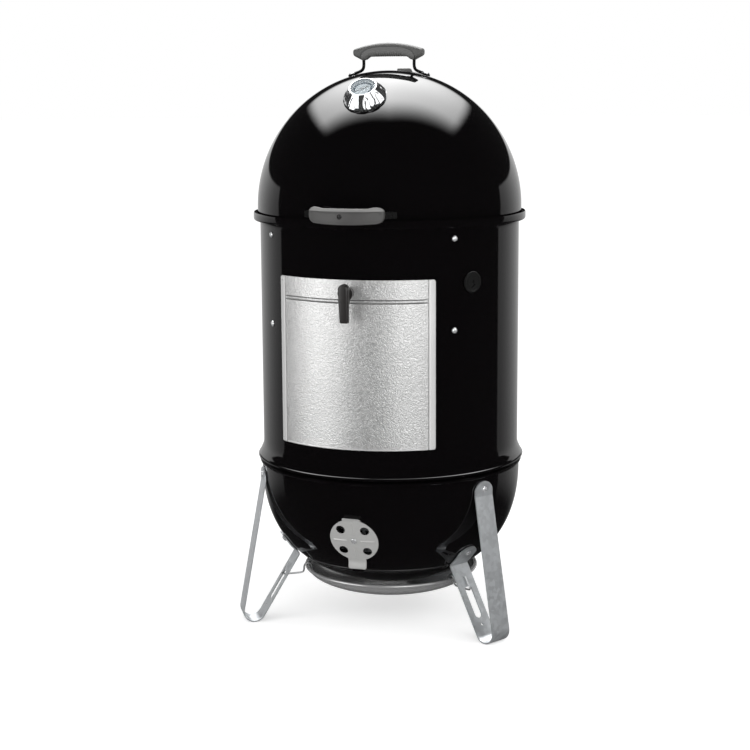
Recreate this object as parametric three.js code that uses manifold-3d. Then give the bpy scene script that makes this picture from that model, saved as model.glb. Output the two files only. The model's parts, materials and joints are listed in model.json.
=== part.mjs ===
/**
 * Vertical water smoker: a kettle-shaped charcoal bowl on three strap legs, a straight centre
 * section with a fuel door, and a domed lid. Two cooking grates, a water pan, a charcoal ring
 * and a charcoal grate sit inside.
 *
 * Millimetres, +Z up. The origin is on the floor, on the axis of the body, and -Y is the front.
 * Angles round the body are in degrees from the front towards +X.
 */
import * as THREE from 'three';
import { mergeVertices } from 'three/addons/utils/BufferGeometryUtils.js';
import loadManifold from 'manifold-3d';

const manifold = await loadManifold();
manifold.setup();

// ---------------------------------------------------------------- driving dimensions

const SHEET = 1.2;
const GAP = 0.4;
const FACETS = 32;
const HOLE_FACETS = 8;
const VENT_FACETS = 6;
const BOLT_FACETS = 6;
const DRILL_LENGTH = 30;
const HOLES = { bolt: 3.5, rivet: 3.2, screw: 2.7, probe: 7 };

const LEG_ANGLES = { left: -60, right: 60, rear: 180 };
const DAMPER_ANGLES = { front: 0, right: 120, left: -120 };
const STRAP_ANGLES = [-45, 45, 135, -135];

const BODY = { radius: 277, top: 889, bottom: 338 };
const COLLAR = { radius: 291, floor: 872 };
const BEAD = { radius: 289, low: 359, high: 387 };
const WINDOW = { halfWidth: 149, bottom: 437, top: 755 };
const PROBE = { angle: 54, height: 759, hole: 16.5 };

const BOWL = { radius: 281, shoulder: 346, depth: 261.3, roundness: 2.36, lip: 286, rim: 355 };
const LID = { radius: 282, skirtBottom: 873, spring: 899, rise: 285 };

const DOOR = { radius: 278.8, halfAngle: 36.2, bottom: 421, top: 769, hem: 1.1, hemWidth: 15 };
const LATCH = { height: 744, boss: 15.5, bore: 4.2, spindle: 3.5, leverBack: 303, leverFront: 322 };

const LEG = { width: 50.8, thickness: 3, top: 341, bend: 309, boltHeight: 324, footRadius: 23.5 };
const LEG_FOOT = { x: 311, z: 25 };
const LEG_PLATE = { low: 150, mid: 172, high: 195, offset: 2.6, boltHeight: 180 };

const DAMPER = { height: 226, radius: 52, holeAt: 26, hole: 9.7, thickness: 1.2, flatness: 460 };
const SHIELD = { radius: 191, rim: 110, floor: 64 };

const STRAP = { width: 25, thickness: 2, upperBolt: 849, lowerBolt: 663, back: 273.2 };
const GRATE = { radius: 265, wire: 6, upper: 834.4, lower: 693.4, bars: 7 };
const CHARCOAL = { grateRadius: 214, grate: 180.4, ringRadius: 206, ringHeight: 190, bars: 5 };
const PAN = { rim: 247, rimHeight: 641.4, depth: 122, floorRadius: 178 };

const THERMOMETER = { fromAxis: 167, radius: 45, face: 26, height: 27, stem: 92, needleRest: 128 };
const HANDLE = { legAt: 55.5, rod: 3, footAt: 80, halfLength: 76, width: 27, top: 1241, rodSteps: 22 };
const LID_DAMPER = { fromAxis: 105, angle: 160 };
const GRIP = { height: 898.5, tall: 35, halfLength: 78.5, front: 318, endFront: 296, screwAt: -7 };

// ---------------------------------------------------------------- finishes

const finish = (color, roughness, metalness) =>
  new THREE.MeshStandardMaterial({ color, roughness, metalness });

const FINISH = {
  enamel: finish(0x0b0a0c, 0.08, 0.0),
  galvanised: finish(0xc6cbcd, 0.42, 0.9),
  aluminium: finish(0xd7d8d8, 0.38, 0.95),
  chrome: finish(0xe6e7e8, 0.08, 1.0),
  bolt: finish(0xc9cbcc, 0.25, 1.0),
  wire: finish(0xbfc2c4, 0.3, 1.0),
  blackSteel: finish(0x151515, 0.35, 0.4),
  greyNylon: finish(0x63645f, 0.55, 0.0),
  blackNylon: finish(0x1c1b1a, 0.5, 0.0),
  silicone: finish(0x101010, 0.7, 0.0),
  dial: finish(0xf2f2ee, 0.5, 0.0),
  glass: finish(0xffffff, 0.03, 0.0),
};

// ---------------------------------------------------------------- solid helpers

const radians = THREE.MathUtils.degToRad;

/** Turns a closed geometry into a solid, with shared corners merged. */
function solidOf(geometry) {
  const bare = geometry.clone();
  bare.deleteAttribute('normal');
  bare.deleteAttribute('uv');
  const merged = mergeVertices(bare, 1e-4);
  const index = merged.index.array;
  const triangles = [];
  for (let i = 0; i < index.length; i += 3) {
    const [a, b, c] = [index[i], index[i + 1], index[i + 2]];
    if (a !== b && b !== c && c !== a) triangles.push(a, b, c);
  }
  return new manifold.Manifold(new manifold.Mesh({
    numProp: 3,
    vertProperties: new Float32Array(merged.attributes.position.array),
    triVerts: new Uint32Array(triangles),
  }));
}

/** Turns a solid back into a geometry. */
function geometryOf(solid) {
  const mesh = solid.getMesh();
  const geometry = new THREE.BufferGeometry();
  geometry.setAttribute('position', new THREE.BufferAttribute(mesh.vertProperties, 3));
  geometry.setIndex(new THREE.BufferAttribute(mesh.triVerts, 1));
  geometry.computeVertexNormals();
  return geometry;
}

/** Joins `add` to a geometry and then cuts `cut` out of it. */
function shaped(geometry, { add = [], cut = [] }) {
  let solid = solidOf(geometry);
  for (const piece of add) solid = solid.add(solidOf(piece));
  for (const piece of cut) solid = solid.subtract(solidOf(piece));
  return geometryOf(solid);
}

/** Turns a profile of [radius, height] points round +Z; the outside runs upwards. */
function turned(profile, facets = FACETS) {
  const points = profile.map(([radius, height]) => new THREE.Vector2(radius, height));
  const meetsAxis = profile[0][0] === 0 && profile.at(-1)[0] === 0;
  if (!meetsAxis) points.push(points[0].clone());
  return new THREE.LatheGeometry(points, facets).rotateX(Math.PI / 2);
}

/** Extrudes a [radius, height] outline sideways, standing at the front of the body. */
function radialSlab(shape, width) {
  const slab = new THREE.ExtrudeGeometry(shape, { depth: width, bevelEnabled: false });
  slab.translate(0, 0, -width / 2);
  const toFront = new THREE.Matrix4().makeBasis(
    new THREE.Vector3(0, -1, 0),
    new THREE.Vector3(0, 0, 1),
    new THREE.Vector3(-1, 0, 0),
  );
  return slab.applyMatrix4(toFront);
}

/** Extrudes an [x, y] outline upwards from `bottom` to `top`. */
function upright(points, bottom, top) {
  const shape = new THREE.Shape(points.map(([x, y]) => new THREE.Vector2(x, y)));
  const block = new THREE.ExtrudeGeometry(shape, { depth: top - bottom, bevelEnabled: false });
  return block.translate(0, 0, bottom);
}

/** The outline of a bent strip that follows a path of [x, y] points with mitred corners. */
function stripOutline(path, thickness) {
  const points = path.map(([x, y]) => new THREE.Vector2(x, y));
  const left = [];
  const right = [];
  points.forEach((point, i) => {
    const before = points[Math.max(i - 1, 0)];
    const after = points[Math.min(i + 1, points.length - 1)];
    const arriving = (i > 0 ? point.clone().sub(before) : after.clone().sub(point)).normalize();
    const last = i === points.length - 1;
    const leaving = last ? arriving.clone() : after.clone().sub(point).normalize();
    const sideIn = new THREE.Vector2(-arriving.y, arriving.x);
    const sideOut = new THREE.Vector2(-leaving.y, leaving.x);
    const mitre = sideIn.clone().add(sideOut).normalize();
    const reach = thickness / 2 / mitre.dot(sideIn);
    left.push(point.clone().addScaledVector(mitre, reach));
    right.push(point.clone().addScaledVector(mitre, -reach));
  });
  return new THREE.Shape([...left, ...right.reverse()]);
}

/** A rod of round section along a smooth curve through [x, y, z] points. */
function rod(points, radius, steps, sides) {
  const stations = points.map((point) => new THREE.Vector3(...point));
  const curve = new THREE.CatmullRomCurve3(stations, false, 'centripetal');
  const section = new THREE.Shape();
  section.absarc(0, 0, radius, 0, 2 * Math.PI, false);
  const corners = section.getPoints(sides / 2).slice(0, -1);
  return new THREE.ExtrudeGeometry(new THREE.Shape(corners), { steps, extrudePath: curve });
}

/** A round cutter that points outwards through whatever stands at the front of the body. */
function wallHole(radius, height, facets = HOLE_FACETS) {
  const peg = new THREE.CylinderGeometry(radius, radius, 2 * DRILL_LENGTH, facets);
  return peg.translate(0, -BODY.radius, height);
}

/** A round cutter through a sheet, in the sheet's own frame. */
function drill(radius, facets = HOLE_FACETS) {
  return new THREE.CylinderGeometry(radius, radius, DRILL_LENGTH, facets).rotateX(Math.PI / 2);
}

/** The matrix from a surface's own frame to the surface: local +Z is the outward normal. */
function seat({ radius, height, tilt, angle = 0 }) {
  const outward = new THREE.Vector3(0, -Math.cos(tilt), Math.sin(tilt));
  const uphill = new THREE.Vector3(0, Math.sin(tilt), Math.cos(tilt));
  const matrix = new THREE.Matrix4().makeBasis(new THREE.Vector3(1, 0, 0), uphill, outward);
  matrix.setPosition(0, -radius, height);
  return new THREE.Matrix4().makeRotationZ(radians(angle)).multiply(matrix);
}

// ---------------------------------------------------------------- surfaces of the shells

/** Outer radius of the bowl at a height. */
function bowlRadius(height) {
  const drop = (BOWL.shoulder - height) / BOWL.depth;
  return BOWL.radius * (1 - drop ** BOWL.roundness) ** (1 / BOWL.roundness);
}

/** A seat on the bowl's outer surface at a height. */
function bowlSeat(height, angle) {
  const radius = bowlRadius(height);
  const power = BOWL.roundness - 1;
  const outward = (radius / BOWL.radius) ** power / BOWL.radius;
  const downward = ((BOWL.shoulder - height) / BOWL.depth) ** power / BOWL.depth;
  return { radius, height, tilt: -Math.atan2(downward, outward), angle };
}

/** A [radius, height] point at a distance outside the bowl. */
function besideBowl(height, distance) {
  const { radius, tilt } = bowlSeat(height);
  return [radius + distance * Math.cos(tilt), height + distance * Math.sin(tilt)];
}

/** A seat on the lid's outer surface at a distance from its axis. */
function lidSeat(radius, angle) {
  const cosine = Math.sqrt(1 - (radius / LID.radius) ** 2);
  const height = LID.spring + LID.rise * cosine;
  const tilt = Math.atan2(cosine / LID.rise, radius / LID.radius ** 2);
  return { radius, height, tilt, angle };
}

/** Quarter of an oval from its side to its crown, as [radius, height] points. */
function quarterOval(radius, rise, power, steps) {
  const points = [];
  for (let i = 0; i <= steps; i += 1) {
    const turn = (Math.PI / 2) * (i / steps);
    const x = i === steps ? 0 : radius * Math.cos(turn) ** (2 / power);
    points.push([x, rise * Math.sin(turn) ** (2 / power)]);
  }
  return points;
}

// ---------------------------------------------------------------- assembly bookkeeping

const smoker = new THREE.Group();

/** Names a mesh and puts it in a group, turned round the body by `angle` degrees. */
function place(parent, name, geometry, material, angle = 0) {
  const mesh = new THREE.Mesh(geometry, material);
  mesh.name = name;
  mesh.rotation.z = radians(angle);
  parent.add(mesh);
}

/** A domed bolt with its nut; local +Z points out of the head, and 0 is under the head. */
function boltAndNut(grip, headRadius = 6.3, nutLength = 4) {
  return turned([
    [0, -grip - nutLength],
    [5.4, -grip - nutLength],
    [5.4, -grip],
    [3, -grip],
    [3, 0],
    [headRadius, 0],
    [headRadius * 0.7, 2.6],
    [0, 3.5],
  ], BOLT_FACETS);
}

// ---------------------------------------------------------------- bowl, legs and heat shield

/** The four vent holes of a damper, in the damper's own frame. */
function ventPegs() {
  const pegs = [];
  for (const x of [-DAMPER.holeAt, DAMPER.holeAt]) {
    for (const y of [-DAMPER.holeAt, DAMPER.holeAt]) {
      pegs.push(drill(DAMPER.hole, VENT_FACETS).translate(x, y, 0));
    }
  }
  return pegs;
}

/** The kettle-shaped bowl with its rolled lip, three grate tabs, vents and bolt holes. */
function bowl() {
  const steps = 7;
  const hollow = quarterOval(BOWL.radius - SHEET, BOWL.depth - SHEET, BOWL.roundness, steps);
  const skin = quarterOval(BOWL.radius, BOWL.depth, BOWL.roundness, steps).reverse();
  const below = ([radius, drop]) => [radius, BOWL.shoulder - drop];
  const outside = turned([
    ...skin.map(below),
    [BOWL.lip, BOWL.shoulder + 4],
    [BOWL.lip, BOWL.rim],
    [0, BOWL.rim],
  ]);
  const inside = solidOf(turned([
    ...hollow.reverse().map(below),
    [BOWL.radius - SHEET, BOWL.rim + 10],
    [0, BOWL.rim + 10],
  ]));
  const tabThickness = 2;
  const tabs = Object.values(DAMPER_ANGLES).map((angle) => new THREE.BoxGeometry(24, 60, tabThickness)
    .translate(0, -230, CHARCOAL.grate - GAP - tabThickness / 2)
    .rotateZ(radians(angle)));
  const space = tabs.reduce((solid, tab) => solid.subtract(solidOf(tab)), inside);
  const cuts = [];
  for (const angle of Object.values(DAMPER_ANGLES)) {
    const matrix = new THREE.Matrix4().copy(seat(bowlSeat(DAMPER.height, angle)));
    cuts.push(...[...ventPegs(), drill(HOLES.rivet)].map((peg) => peg.applyMatrix4(matrix)));
  }
  for (const angle of Object.values(LEG_ANGLES)) {
    cuts.push(drill(HOLES.bolt).applyMatrix4(seat(bowlSeat(LEG_PLATE.boltHeight, angle))));
    cuts.push(wallHole(HOLES.bolt, LEG.boltHeight).rotateZ(radians(angle)));
  }
  const shell = solidOf(outside).subtract(space);
  return geometryOf(cuts.reduce((solid, cut) => solid.subtract(solidOf(cut)), shell));
}

/** Direction, in radians, of a line from a point that just touches the foot's bend. */
function headingPast([x, z], side) {
  const towards = Math.atan2(LEG_FOOT.z - z, LEG_FOOT.x - x);
  const distance = Math.hypot(LEG_FOOT.x - x, LEG_FOOT.z - z);
  return towards + side * Math.asin(LEG.footRadius / distance);
}

/** Corner points of the foot's bend, between facets that face the given directions. */
function footCorners(facing) {
  return facing.slice(1).map((next, i) => {
    const middle = (facing[i] + next) / 2;
    const reach = LEG.footRadius / Math.cos((facing[i] - next) / 2);
    return [LEG_FOOT.x + reach * Math.cos(middle), LEG_FOOT.z + reach * Math.sin(middle)];
  });
}

/** The path of a leg strap in its [radius, height] plane, and where its slot is. */
function legPath() {
  const plateX = BOWL.radius + LEG.thickness / 2 + GAP + 0.3;
  const bend = [plateX, LEG.bend];
  const tuck = besideBowl(LEG_PLATE.low, LEG_PLATE.offset);
  const outer = headingPast(bend, 1) + Math.PI / 2;
  const inner = headingPast(tuck, -1) - Math.PI / 2;
  const down = -Math.PI / 2;
  const blend = (from, to, share) => from + (to - from) * share;
  const facing = [
    outer, blend(outer, down, 0.25), blend(outer, down, 0.5), blend(outer, down, 0.75),
    down, blend(down, inner, 0.5), inner,
  ];
  const path = [
    [plateX, LEG.top],
    bend,
    ...footCorners(facing),
    tuck,
    besideBowl(LEG_PLATE.mid, LEG_PLATE.offset),
    besideBowl(LEG_PLATE.high, LEG_PLATE.offset),
  ];
  return { path, innerHeading: inner + Math.PI / 2, tuck };
}

/** A stadium-shaped peg through the inner strut, `from` to `to` along it from its top bend. */
function strutCut(from, to, width) {
  const { innerHeading, tuck } = legPath();
  const along = new THREE.Vector3(0, -Math.cos(innerHeading), Math.sin(innerHeading));
  const sideways = new THREE.Vector3(1, 0, 0);
  const basis = new THREE.Matrix4().makeBasis(sideways, along, sideways.clone().cross(along));
  basis.setPosition(0, -tuck[0], tuck[1]);
  const half = width / 2;
  const slot = new THREE.Shape();
  slot.moveTo(-half, from + half * 0.4);
  slot.lineTo(-half, to - half);
  slot.absarc(0, to - half, half, Math.PI, 0, true);
  slot.lineTo(half, from + half * 0.4);
  slot.lineTo(half * 0.6, from);
  slot.lineTo(-half * 0.6, from);
  const cutter = new THREE.ExtrudeGeometry(slot, { depth: 12, bevelEnabled: false, curveSegments: 6 });
  return cutter.translate(0, 0, -6).applyMatrix4(basis);
}

/** What is trimmed off a strap's end to round it: a block less a disc, lying on the strap. */
function endTrim(discRadius, reach) {
  const outline = new THREE.Shape([
    new THREE.Vector2(-40, 0), new THREE.Vector2(40, 0),
    new THREE.Vector2(40, reach + 20), new THREE.Vector2(-40, reach + 20),
  ]);
  const block = new THREE.ExtrudeGeometry(outline, { depth: 30, bevelEnabled: false }).translate(0, 0, -15);
  const disc = new THREE.CylinderGeometry(discRadius, discRadius, 40, 16).rotateX(Math.PI / 2);
  const keep = disc.translate(0, reach - discRadius, 0);
  return geometryOf(solidOf(block).subtract(solidOf(keep)));
}

/** One leg: a single galvanised strap bent from the rim to the floor and back to the bowl. */
function leg() {
  const { path } = legPath();
  const strap = radialSlab(stripOutline(path, LEG.thickness), LEG.width);
  const endRadius = 27.5;
  const upperTrim = endTrim(endRadius, LEG.top - LEG.boltHeight)
    .applyMatrix4(seat({ radius: BOWL.radius + 2, height: LEG.boltHeight, tilt: 0 }));
  const lowerTrim = endTrim(endRadius, 17).applyMatrix4(seat(bowlSeat(LEG_PLATE.boltHeight)));
  const lowerHole = drill(HOLES.bolt).applyMatrix4(seat(bowlSeat(LEG_PLATE.boltHeight)));
  return shaped(strap, {
    cut: [
      upperTrim,
      lowerTrim,
      lowerHole,
      wallHole(HOLES.bolt, LEG.boltHeight),
      strutCut(52, 122, 19),
      strutCut(134, 140, 6),
    ],
  });
}

/** The heat shield's dished pan with its rolled rim. */
function heatShield() {
  const { radius, rim, floor } = SHIELD;
  return turned([
    [0, floor],
    [118, floor],
    [158, floor + 6],
    [178, floor + 20],
    [185, rim - 8],
    [radius, rim - 6],
    [radius, rim + 1],
    [185, rim],
    [183, rim - 7],
    [176, floor + 21],
    [157, floor + 7.2],
    [117.5, floor + SHEET],
    [0, floor + SHEET],
  ], FACETS);
}

/** A wire hook from the shield's rim out through the leg's slot. */
function shieldHook() {
  const line = [
    [178, 101], [180.5, 112], [185, 117.5], [192, 117.5], [196, 112], [197, 102],
    [203, 98.2], [216, 97.4], [240, 97.4], [245, 101], [240, 111], [231, 126],
  ];
  return rod(line.map(([radius, height]) => [0, -radius, height]), 1.9, 16, 6);
}

/** A damper disc with its vent holes and two bent tabs, in its own frame. */
function damper() {
  const { radius, thickness, flatness } = DAMPER;
  const lift = 0.5;
  const sag = (r) => lift - r ** 2 / (2 * flatness);
  const disc = turned([
    [0, sag(0)], [radius, sag(radius)], [radius, sag(radius) + thickness], [0, sag(0) + thickness],
  ], 16);
  const base = sag(radius);
  const lowerTab = stripOutline([[-46, base + 1.2], [-54, base + 1.4], [-71, base + 7]], thickness);
  const upperTab = stripOutline([[46, base + 1.2], [55, base + 2.2], [58, base + 5.5]], thickness);
  const tabs = [[lowerTab, 38], [upperTab, 40]].map(([shape, width]) => {
    const tab = new THREE.ExtrudeGeometry(shape, { depth: width, bevelEnabled: false });
    const onEdge = new THREE.Matrix4().makeBasis(
      new THREE.Vector3(0, 1, 0), new THREE.Vector3(0, 0, 1), new THREE.Vector3(1, 0, 0));
    return tab.translate(0, 0, -width / 2).applyMatrix4(onEdge);
  });
  return shaped(disc, { add: tabs, cut: [...ventPegs(), drill(HOLES.rivet)] });
}

/** The rivet that holds a damper, in the damper's own frame. */
function damperRivet() {
  return turned([
    [0, -6], [5.5, -6], [5.5, -4.2], [2.7, -4.2], [2.7, 2.1], [6.2, 2.1], [4.6, 4.2], [0, 4.8],
  ], BOLT_FACETS);
}

/** A round grate of parallel bars inside a ring, resting on its lower face at `bottom`. */
function grate(radius, wire, bars, bottom) {
  const ring = turned([
    [radius - wire, bottom], [radius, bottom], [radius, bottom + wire], [radius - wire, bottom + wire],
  ], FACETS);
  const bar = wire * 0.8;
  const pitch = (2 * radius) / (bars + 1);
  const add = [];
  for (let i = 1; i <= bars; i += 1) {
    const x = -radius + i * pitch;
    const length = 2 * Math.sqrt(radius ** 2 - x ** 2) - wire;
    add.push(new THREE.BoxGeometry(bar, length, bar).translate(x, 0, bottom + wire / 2));
  }
  add.push(new THREE.BoxGeometry(2 * radius - wire, bar, bar).translate(0, 0, bottom + wire / 2));
  return shaped(ring, { add });
}

/** The ring that holds the charcoal, standing on its grate. */
function charcoalRing() {
  const bottom = CHARCOAL.grate + GRATE.wire + GAP;
  const { ringRadius, ringHeight } = CHARCOAL;
  return turned([
    [ringRadius - SHEET, bottom], [ringRadius, bottom],
    [ringRadius, bottom + ringHeight], [ringRadius - SHEET, bottom + ringHeight],
  ], FACETS);
}

function buildBase() {
  const base = new THREE.Group();
  place(base, 'bowl', bowl(), FINISH.enamel);
  place(base, 'heat_shield', heatShield(), FINISH.aluminium);
  const upperBolt = boltAndNut(9.8).applyMatrix4(
    seat({ radius: BOWL.radius + LEG.thickness + 2 * GAP + 0.3, height: LEG.boltHeight, tilt: 0 }));
  const headLift = LEG_PLATE.offset + LEG.thickness / 2 + GAP;
  const lowerBolt = boltAndNut(headLift + 4.4).translate(0, 0, headLift)
    .applyMatrix4(seat(bowlSeat(LEG_PLATE.boltHeight)));
  for (const [side, angle] of Object.entries(LEG_ANGLES)) {
    place(base, `${side}_leg`, leg(), FINISH.galvanised, angle);
    place(base, `${side}_leg_upper_bolt`, upperBolt, FINISH.bolt, angle);
    place(base, `${side}_leg_lower_bolt`, lowerBolt, FINISH.bolt, angle);
    place(base, `${side}_shield_hook`, shieldHook(), FINISH.wire, angle);
  }
  const disc = damper();
  for (const [side, angle] of Object.entries(DAMPER_ANGLES)) {
    const matrix = seat(bowlSeat(DAMPER.height));
    place(base, `${side}_damper`, disc.clone().applyMatrix4(matrix), FINISH.aluminium, angle);
    place(base, `${side}_damper_rivet`, damperRivet().applyMatrix4(matrix), FINISH.bolt, angle);
  }
  const { grateRadius, bars } = CHARCOAL;
  place(base, 'charcoal_grate', grate(grateRadius, GRATE.wire, bars, CHARCOAL.grate), FINISH.wire);
  place(base, 'charcoal_ring', charcoalRing(), FINISH.galvanised);
  smoker.add(base);
}

// ---------------------------------------------------------------- centre section

/** The straight wall with its lid collar, joint bead, spigot, door window and holes. */
function centreSection() {
  const { radius, top, bottom } = BODY;
  const inner = radius - SHEET;
  const wall = turned([
    [radius + 0.8, bottom],
    [radius + 0.8, BEAD.low - 2],
    [BEAD.radius, BEAD.low + 1],
    [BEAD.radius, BEAD.low + 5],
    [radius, BEAD.high],
    [radius, COLLAR.floor - 4],
    [radius + 8, COLLAR.floor - 1],
    [COLLAR.radius, COLLAR.floor + 4],
    [COLLAR.radius, top],
    [COLLAR.radius - SHEET, top],
    [COLLAR.radius - SHEET, COLLAR.floor + 5],
    [radius + 7, COLLAR.floor + 0.3],
    [inner, COLLAR.floor - 2.8],
    [inner, BEAD.high - 0.4],
    [BEAD.radius - 1.6, BEAD.low + 4.6],
    [BEAD.radius - 1.6, BEAD.low + 2],
    [inner + 0.6, BEAD.low - 0.8],
    [inner + 0.6, bottom],
  ]);
  const height = WINDOW.top - WINDOW.bottom;
  const opening = new THREE.BoxGeometry(2 * WINDOW.halfWidth, 150, height)
    .translate(0, -275, WINDOW.bottom + height / 2);
  const boltHoles = STRAP_ANGLES.flatMap((angle) => [STRAP.upperBolt, STRAP.lowerBolt].map(
    (at) => wallHole(HOLES.bolt, at).rotateZ(radians(angle))));
  const probeHole = wallHole(PROBE.hole, PROBE.height, 12).rotateZ(radians(PROBE.angle));
  return shaped(wall, { cut: [opening, ...boltHoles, probeHole] });
}

/** The silicone grommet that thermometer leads pass through. */
function probeGrommet() {
  const { radius } = BODY;
  const plug = turned([
    [0, -7.4], [19, -7.4], [19, -4.8], [15.4, -4.8], [15.6, 0.6], [22, 0.6], [20.5, 3.4], [0, 3.8],
  ], 12);
  return plug.applyMatrix4(seat({ radius: radius + GAP, height: PROBE.height, tilt: 0 }));
}

/** A bent strap with a ledge for the upper grate, one for the lower grate and one for the pan. */
function grillStrap() {
  const { back, width, thickness } = STRAP;
  const half = thickness / 2;
  const path = [
    [back, 862], [back, GRATE.upper - GAP - half], [248, GRATE.upper - GAP - half], [back, 797],
    [back, GRATE.lower - GAP - half], [251, GRATE.lower - GAP - half], [back, 672],
    [back, PAN.rimHeight - GAP - half], [239, PAN.rimHeight - GAP - half],
  ];
  const holes = [STRAP.upperBolt, STRAP.lowerBolt].map((at) => wallHole(HOLES.bolt, at));
  return shaped(radialSlab(stripOutline(path, thickness), width), { cut: holes });
}

/** The water pan: a deep dished bowl with a flat rim. */
function waterPan() {
  const { rim, rimHeight, depth, floorRadius } = PAN;
  const wall = rim - 12;
  const bottom = rimHeight - depth;
  return turned([
    [0, bottom],
    [floorRadius - 40, bottom],
    [floorRadius, bottom + 12],
    [wall, rimHeight],
    [rim, rimHeight],
    [rim, rimHeight + 4],
    [rim - SHEET, rimHeight + 4],
    [rim - SHEET, rimHeight + SHEET],
    [wall - SHEET, rimHeight + SHEET],
    [floorRadius - SHEET, bottom + 13],
    [floorRadius - 40.6, bottom + SHEET],
    [0, bottom + SHEET],
  ], FACETS);
}

function buildCentre() {
  const centre = new THREE.Group();
  place(centre, 'center_section', centreSection(), FINISH.enamel);
  place(centre, 'probe_grommet', probeGrommet(), FINISH.silicone, PROBE.angle);
  const strapBolt = boltAndNut(5.6, 6, 3.8);
  STRAP_ANGLES.forEach((angle, i) => {
    place(centre, `grill_strap_${i + 1}`, grillStrap(), FINISH.galvanised, angle);
    for (const [level, height] of [['upper', STRAP.upperBolt], ['lower', STRAP.lowerBolt]]) {
      const bolt = strapBolt.clone().applyMatrix4(seat({ radius: BODY.radius + GAP, height, tilt: 0 }));
      place(centre, `${level}_strap_bolt_${i + 1}`, bolt, FINISH.bolt, angle);
    }
  });
  const { radius, wire, bars } = GRATE;
  place(centre, 'upper_cooking_grate', grate(radius, wire, bars, GRATE.upper), FINISH.chrome);
  place(centre, 'lower_cooking_grate', grate(radius, wire, bars, GRATE.lower), FINISH.chrome);
  place(centre, 'water_pan', waterPan(), FINISH.enamel);
  smoker.add(centre);
}

// ---------------------------------------------------------------- fuel door and latch

/** An arc-shaped [x, y] outline round the body's axis, centred on the front. */
function arcOutline(inner, outer, fromAngle, toAngle, steps) {
  const rim = (radius) => Array.from({ length: steps + 1 }, (_, i) => {
    const turn = radians(fromAngle + ((toAngle - fromAngle) * i) / steps);
    return [radius * Math.sin(turn), -radius * Math.cos(turn)];
  });
  return [...rim(outer), ...rim(inner).reverse()];
}

/** The curved aluminium door with a folded hem down each side. */
function doorPanel() {
  const { radius, halfAngle, bottom, top, hem, hemWidth } = DOOR;
  const outer = radius + SHEET;
  const panel = upright(arcOutline(radius, outer, -halfAngle, halfAngle, 12), bottom, top);
  const hemAngle = THREE.MathUtils.radToDeg(hemWidth / outer);
  const hems = [-1, 1].map((side) => {
    const edges = [side * halfAngle, side * (halfAngle - hemAngle)].sort((a, b) => a - b);
    return upright(arcOutline(radius + 0.2, outer + hem, ...edges, 1), bottom + 3, top - 0.5);
  });
  return shaped(panel, { add: hems, cut: [wallHole(LATCH.bore + 0.2, LATCH.height)] });
}

/** The black lever that turns the latch, with its round boss. */
function latchHandle() {
  const { height, boss, bore, leverBack, leverFront } = LATCH;
  const outline = new THREE.Shape();
  const top = height + 9;
  outline.moveTo(-9.3, 688);
  outline.lineTo(-7.3, 686);
  outline.lineTo(7.3, 686);
  outline.lineTo(9.3, 688);
  outline.lineTo(11.4, top);
  outline.absarc(0, top, 11.4, 0, Math.PI, false);
  const lever = new THREE.ExtrudeGeometry(outline, {
    depth: leverFront - leverBack, bevelEnabled: false, curveSegments: 5,
  }).rotateX(Math.PI / 2).translate(0, -leverBack, 0);
  const face = DOOR.radius + SHEET + 0.8;
  const neck = new THREE.CylinderGeometry(boss, 10.5, leverBack + 4 - face, 14)
    .rotateX(Math.PI).translate(0, -(leverBack + 4 + face) / 2, height);
  const socket = new THREE.CylinderGeometry(bore, bore, 27, HOLE_FACETS).translate(0, -283.5, height);
  return shaped(lever, { add: [neck], cut: [socket] });
}

/** The spindle from the handle through the door, with the nut that holds the catch. */
function latchSpindle() {
  const { spindle, height } = LATCH;
  const pin = turned([[0, 264], [6, 264], [6, 268], [spindle, 268], [spindle, 296.4], [0, 296.4]], 8);
  const forward = new THREE.Matrix4().makeBasis(
    new THREE.Vector3(1, 0, 0), new THREE.Vector3(0, 0, 1), new THREE.Vector3(0, -1, 0));
  return pin.applyMatrix4(forward).translate(0, 0, height);
}

/** The catch behind the door: a steel bar that turns up behind the wall to lock. */
function latchCatch() {
  const bar = new THREE.BoxGeometry(56, 2, 15).translate(0, -269.8, LATCH.height);
  return shaped(bar, { cut: [wallHole(LATCH.spindle + GAP, LATCH.height)] });
}

function buildDoor() {
  const door = new THREE.Group();
  place(door, 'door_panel', doorPanel(), FINISH.aluminium);
  place(door, 'latch_handle', latchHandle(), FINISH.blackNylon);
  place(door, 'latch_spindle', latchSpindle(), FINISH.bolt);
  place(door, 'latch_catch', latchCatch(), FINISH.galvanised);
  smoker.add(door);
}

// ---------------------------------------------------------------- lid and its fittings

/** A round cutter through the lid at a distance from its axis. */
function lidHole(radius, fromAxis, angle) {
  return drill(radius).applyMatrix4(seat(lidSeat(fromAxis, angle)));
}

/** The domed lid: a short skirt that drops inside the collar, and an oval crown. */
function lid() {
  const steps = 7;
  const { radius, skirtBottom, spring, rise } = LID;
  const above = ([x, up]) => [x, spring + up];
  const skin = quarterOval(radius, rise, 2, steps).map(above);
  const hollow = quarterOval(radius - SHEET, rise - SHEET, 2, steps).map(above).reverse();
  const shell = turned([
    [radius, skirtBottom], ...skin, ...hollow, [radius - SHEET, skirtBottom], [radius, skirtBottom],
  ].slice(0, -1));
  const damperSeat = seat(lidSeat(LID_DAMPER.fromAxis, LID_DAMPER.angle));
  const vents = ventPegs().map((peg) => peg.applyMatrix4(damperSeat));
  return shaped(shell, {
    cut: [
      ...vents,
      lidHole(HOLES.rivet, LID_DAMPER.fromAxis, LID_DAMPER.angle),
      lidHole(HOLES.probe, THERMOMETER.fromAxis, 0),
      lidHole(HOLES.bolt, HANDLE.footAt, 90),
      lidHole(HOLES.bolt, HANDLE.footAt, -90),
    ],
  });
}

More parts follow.
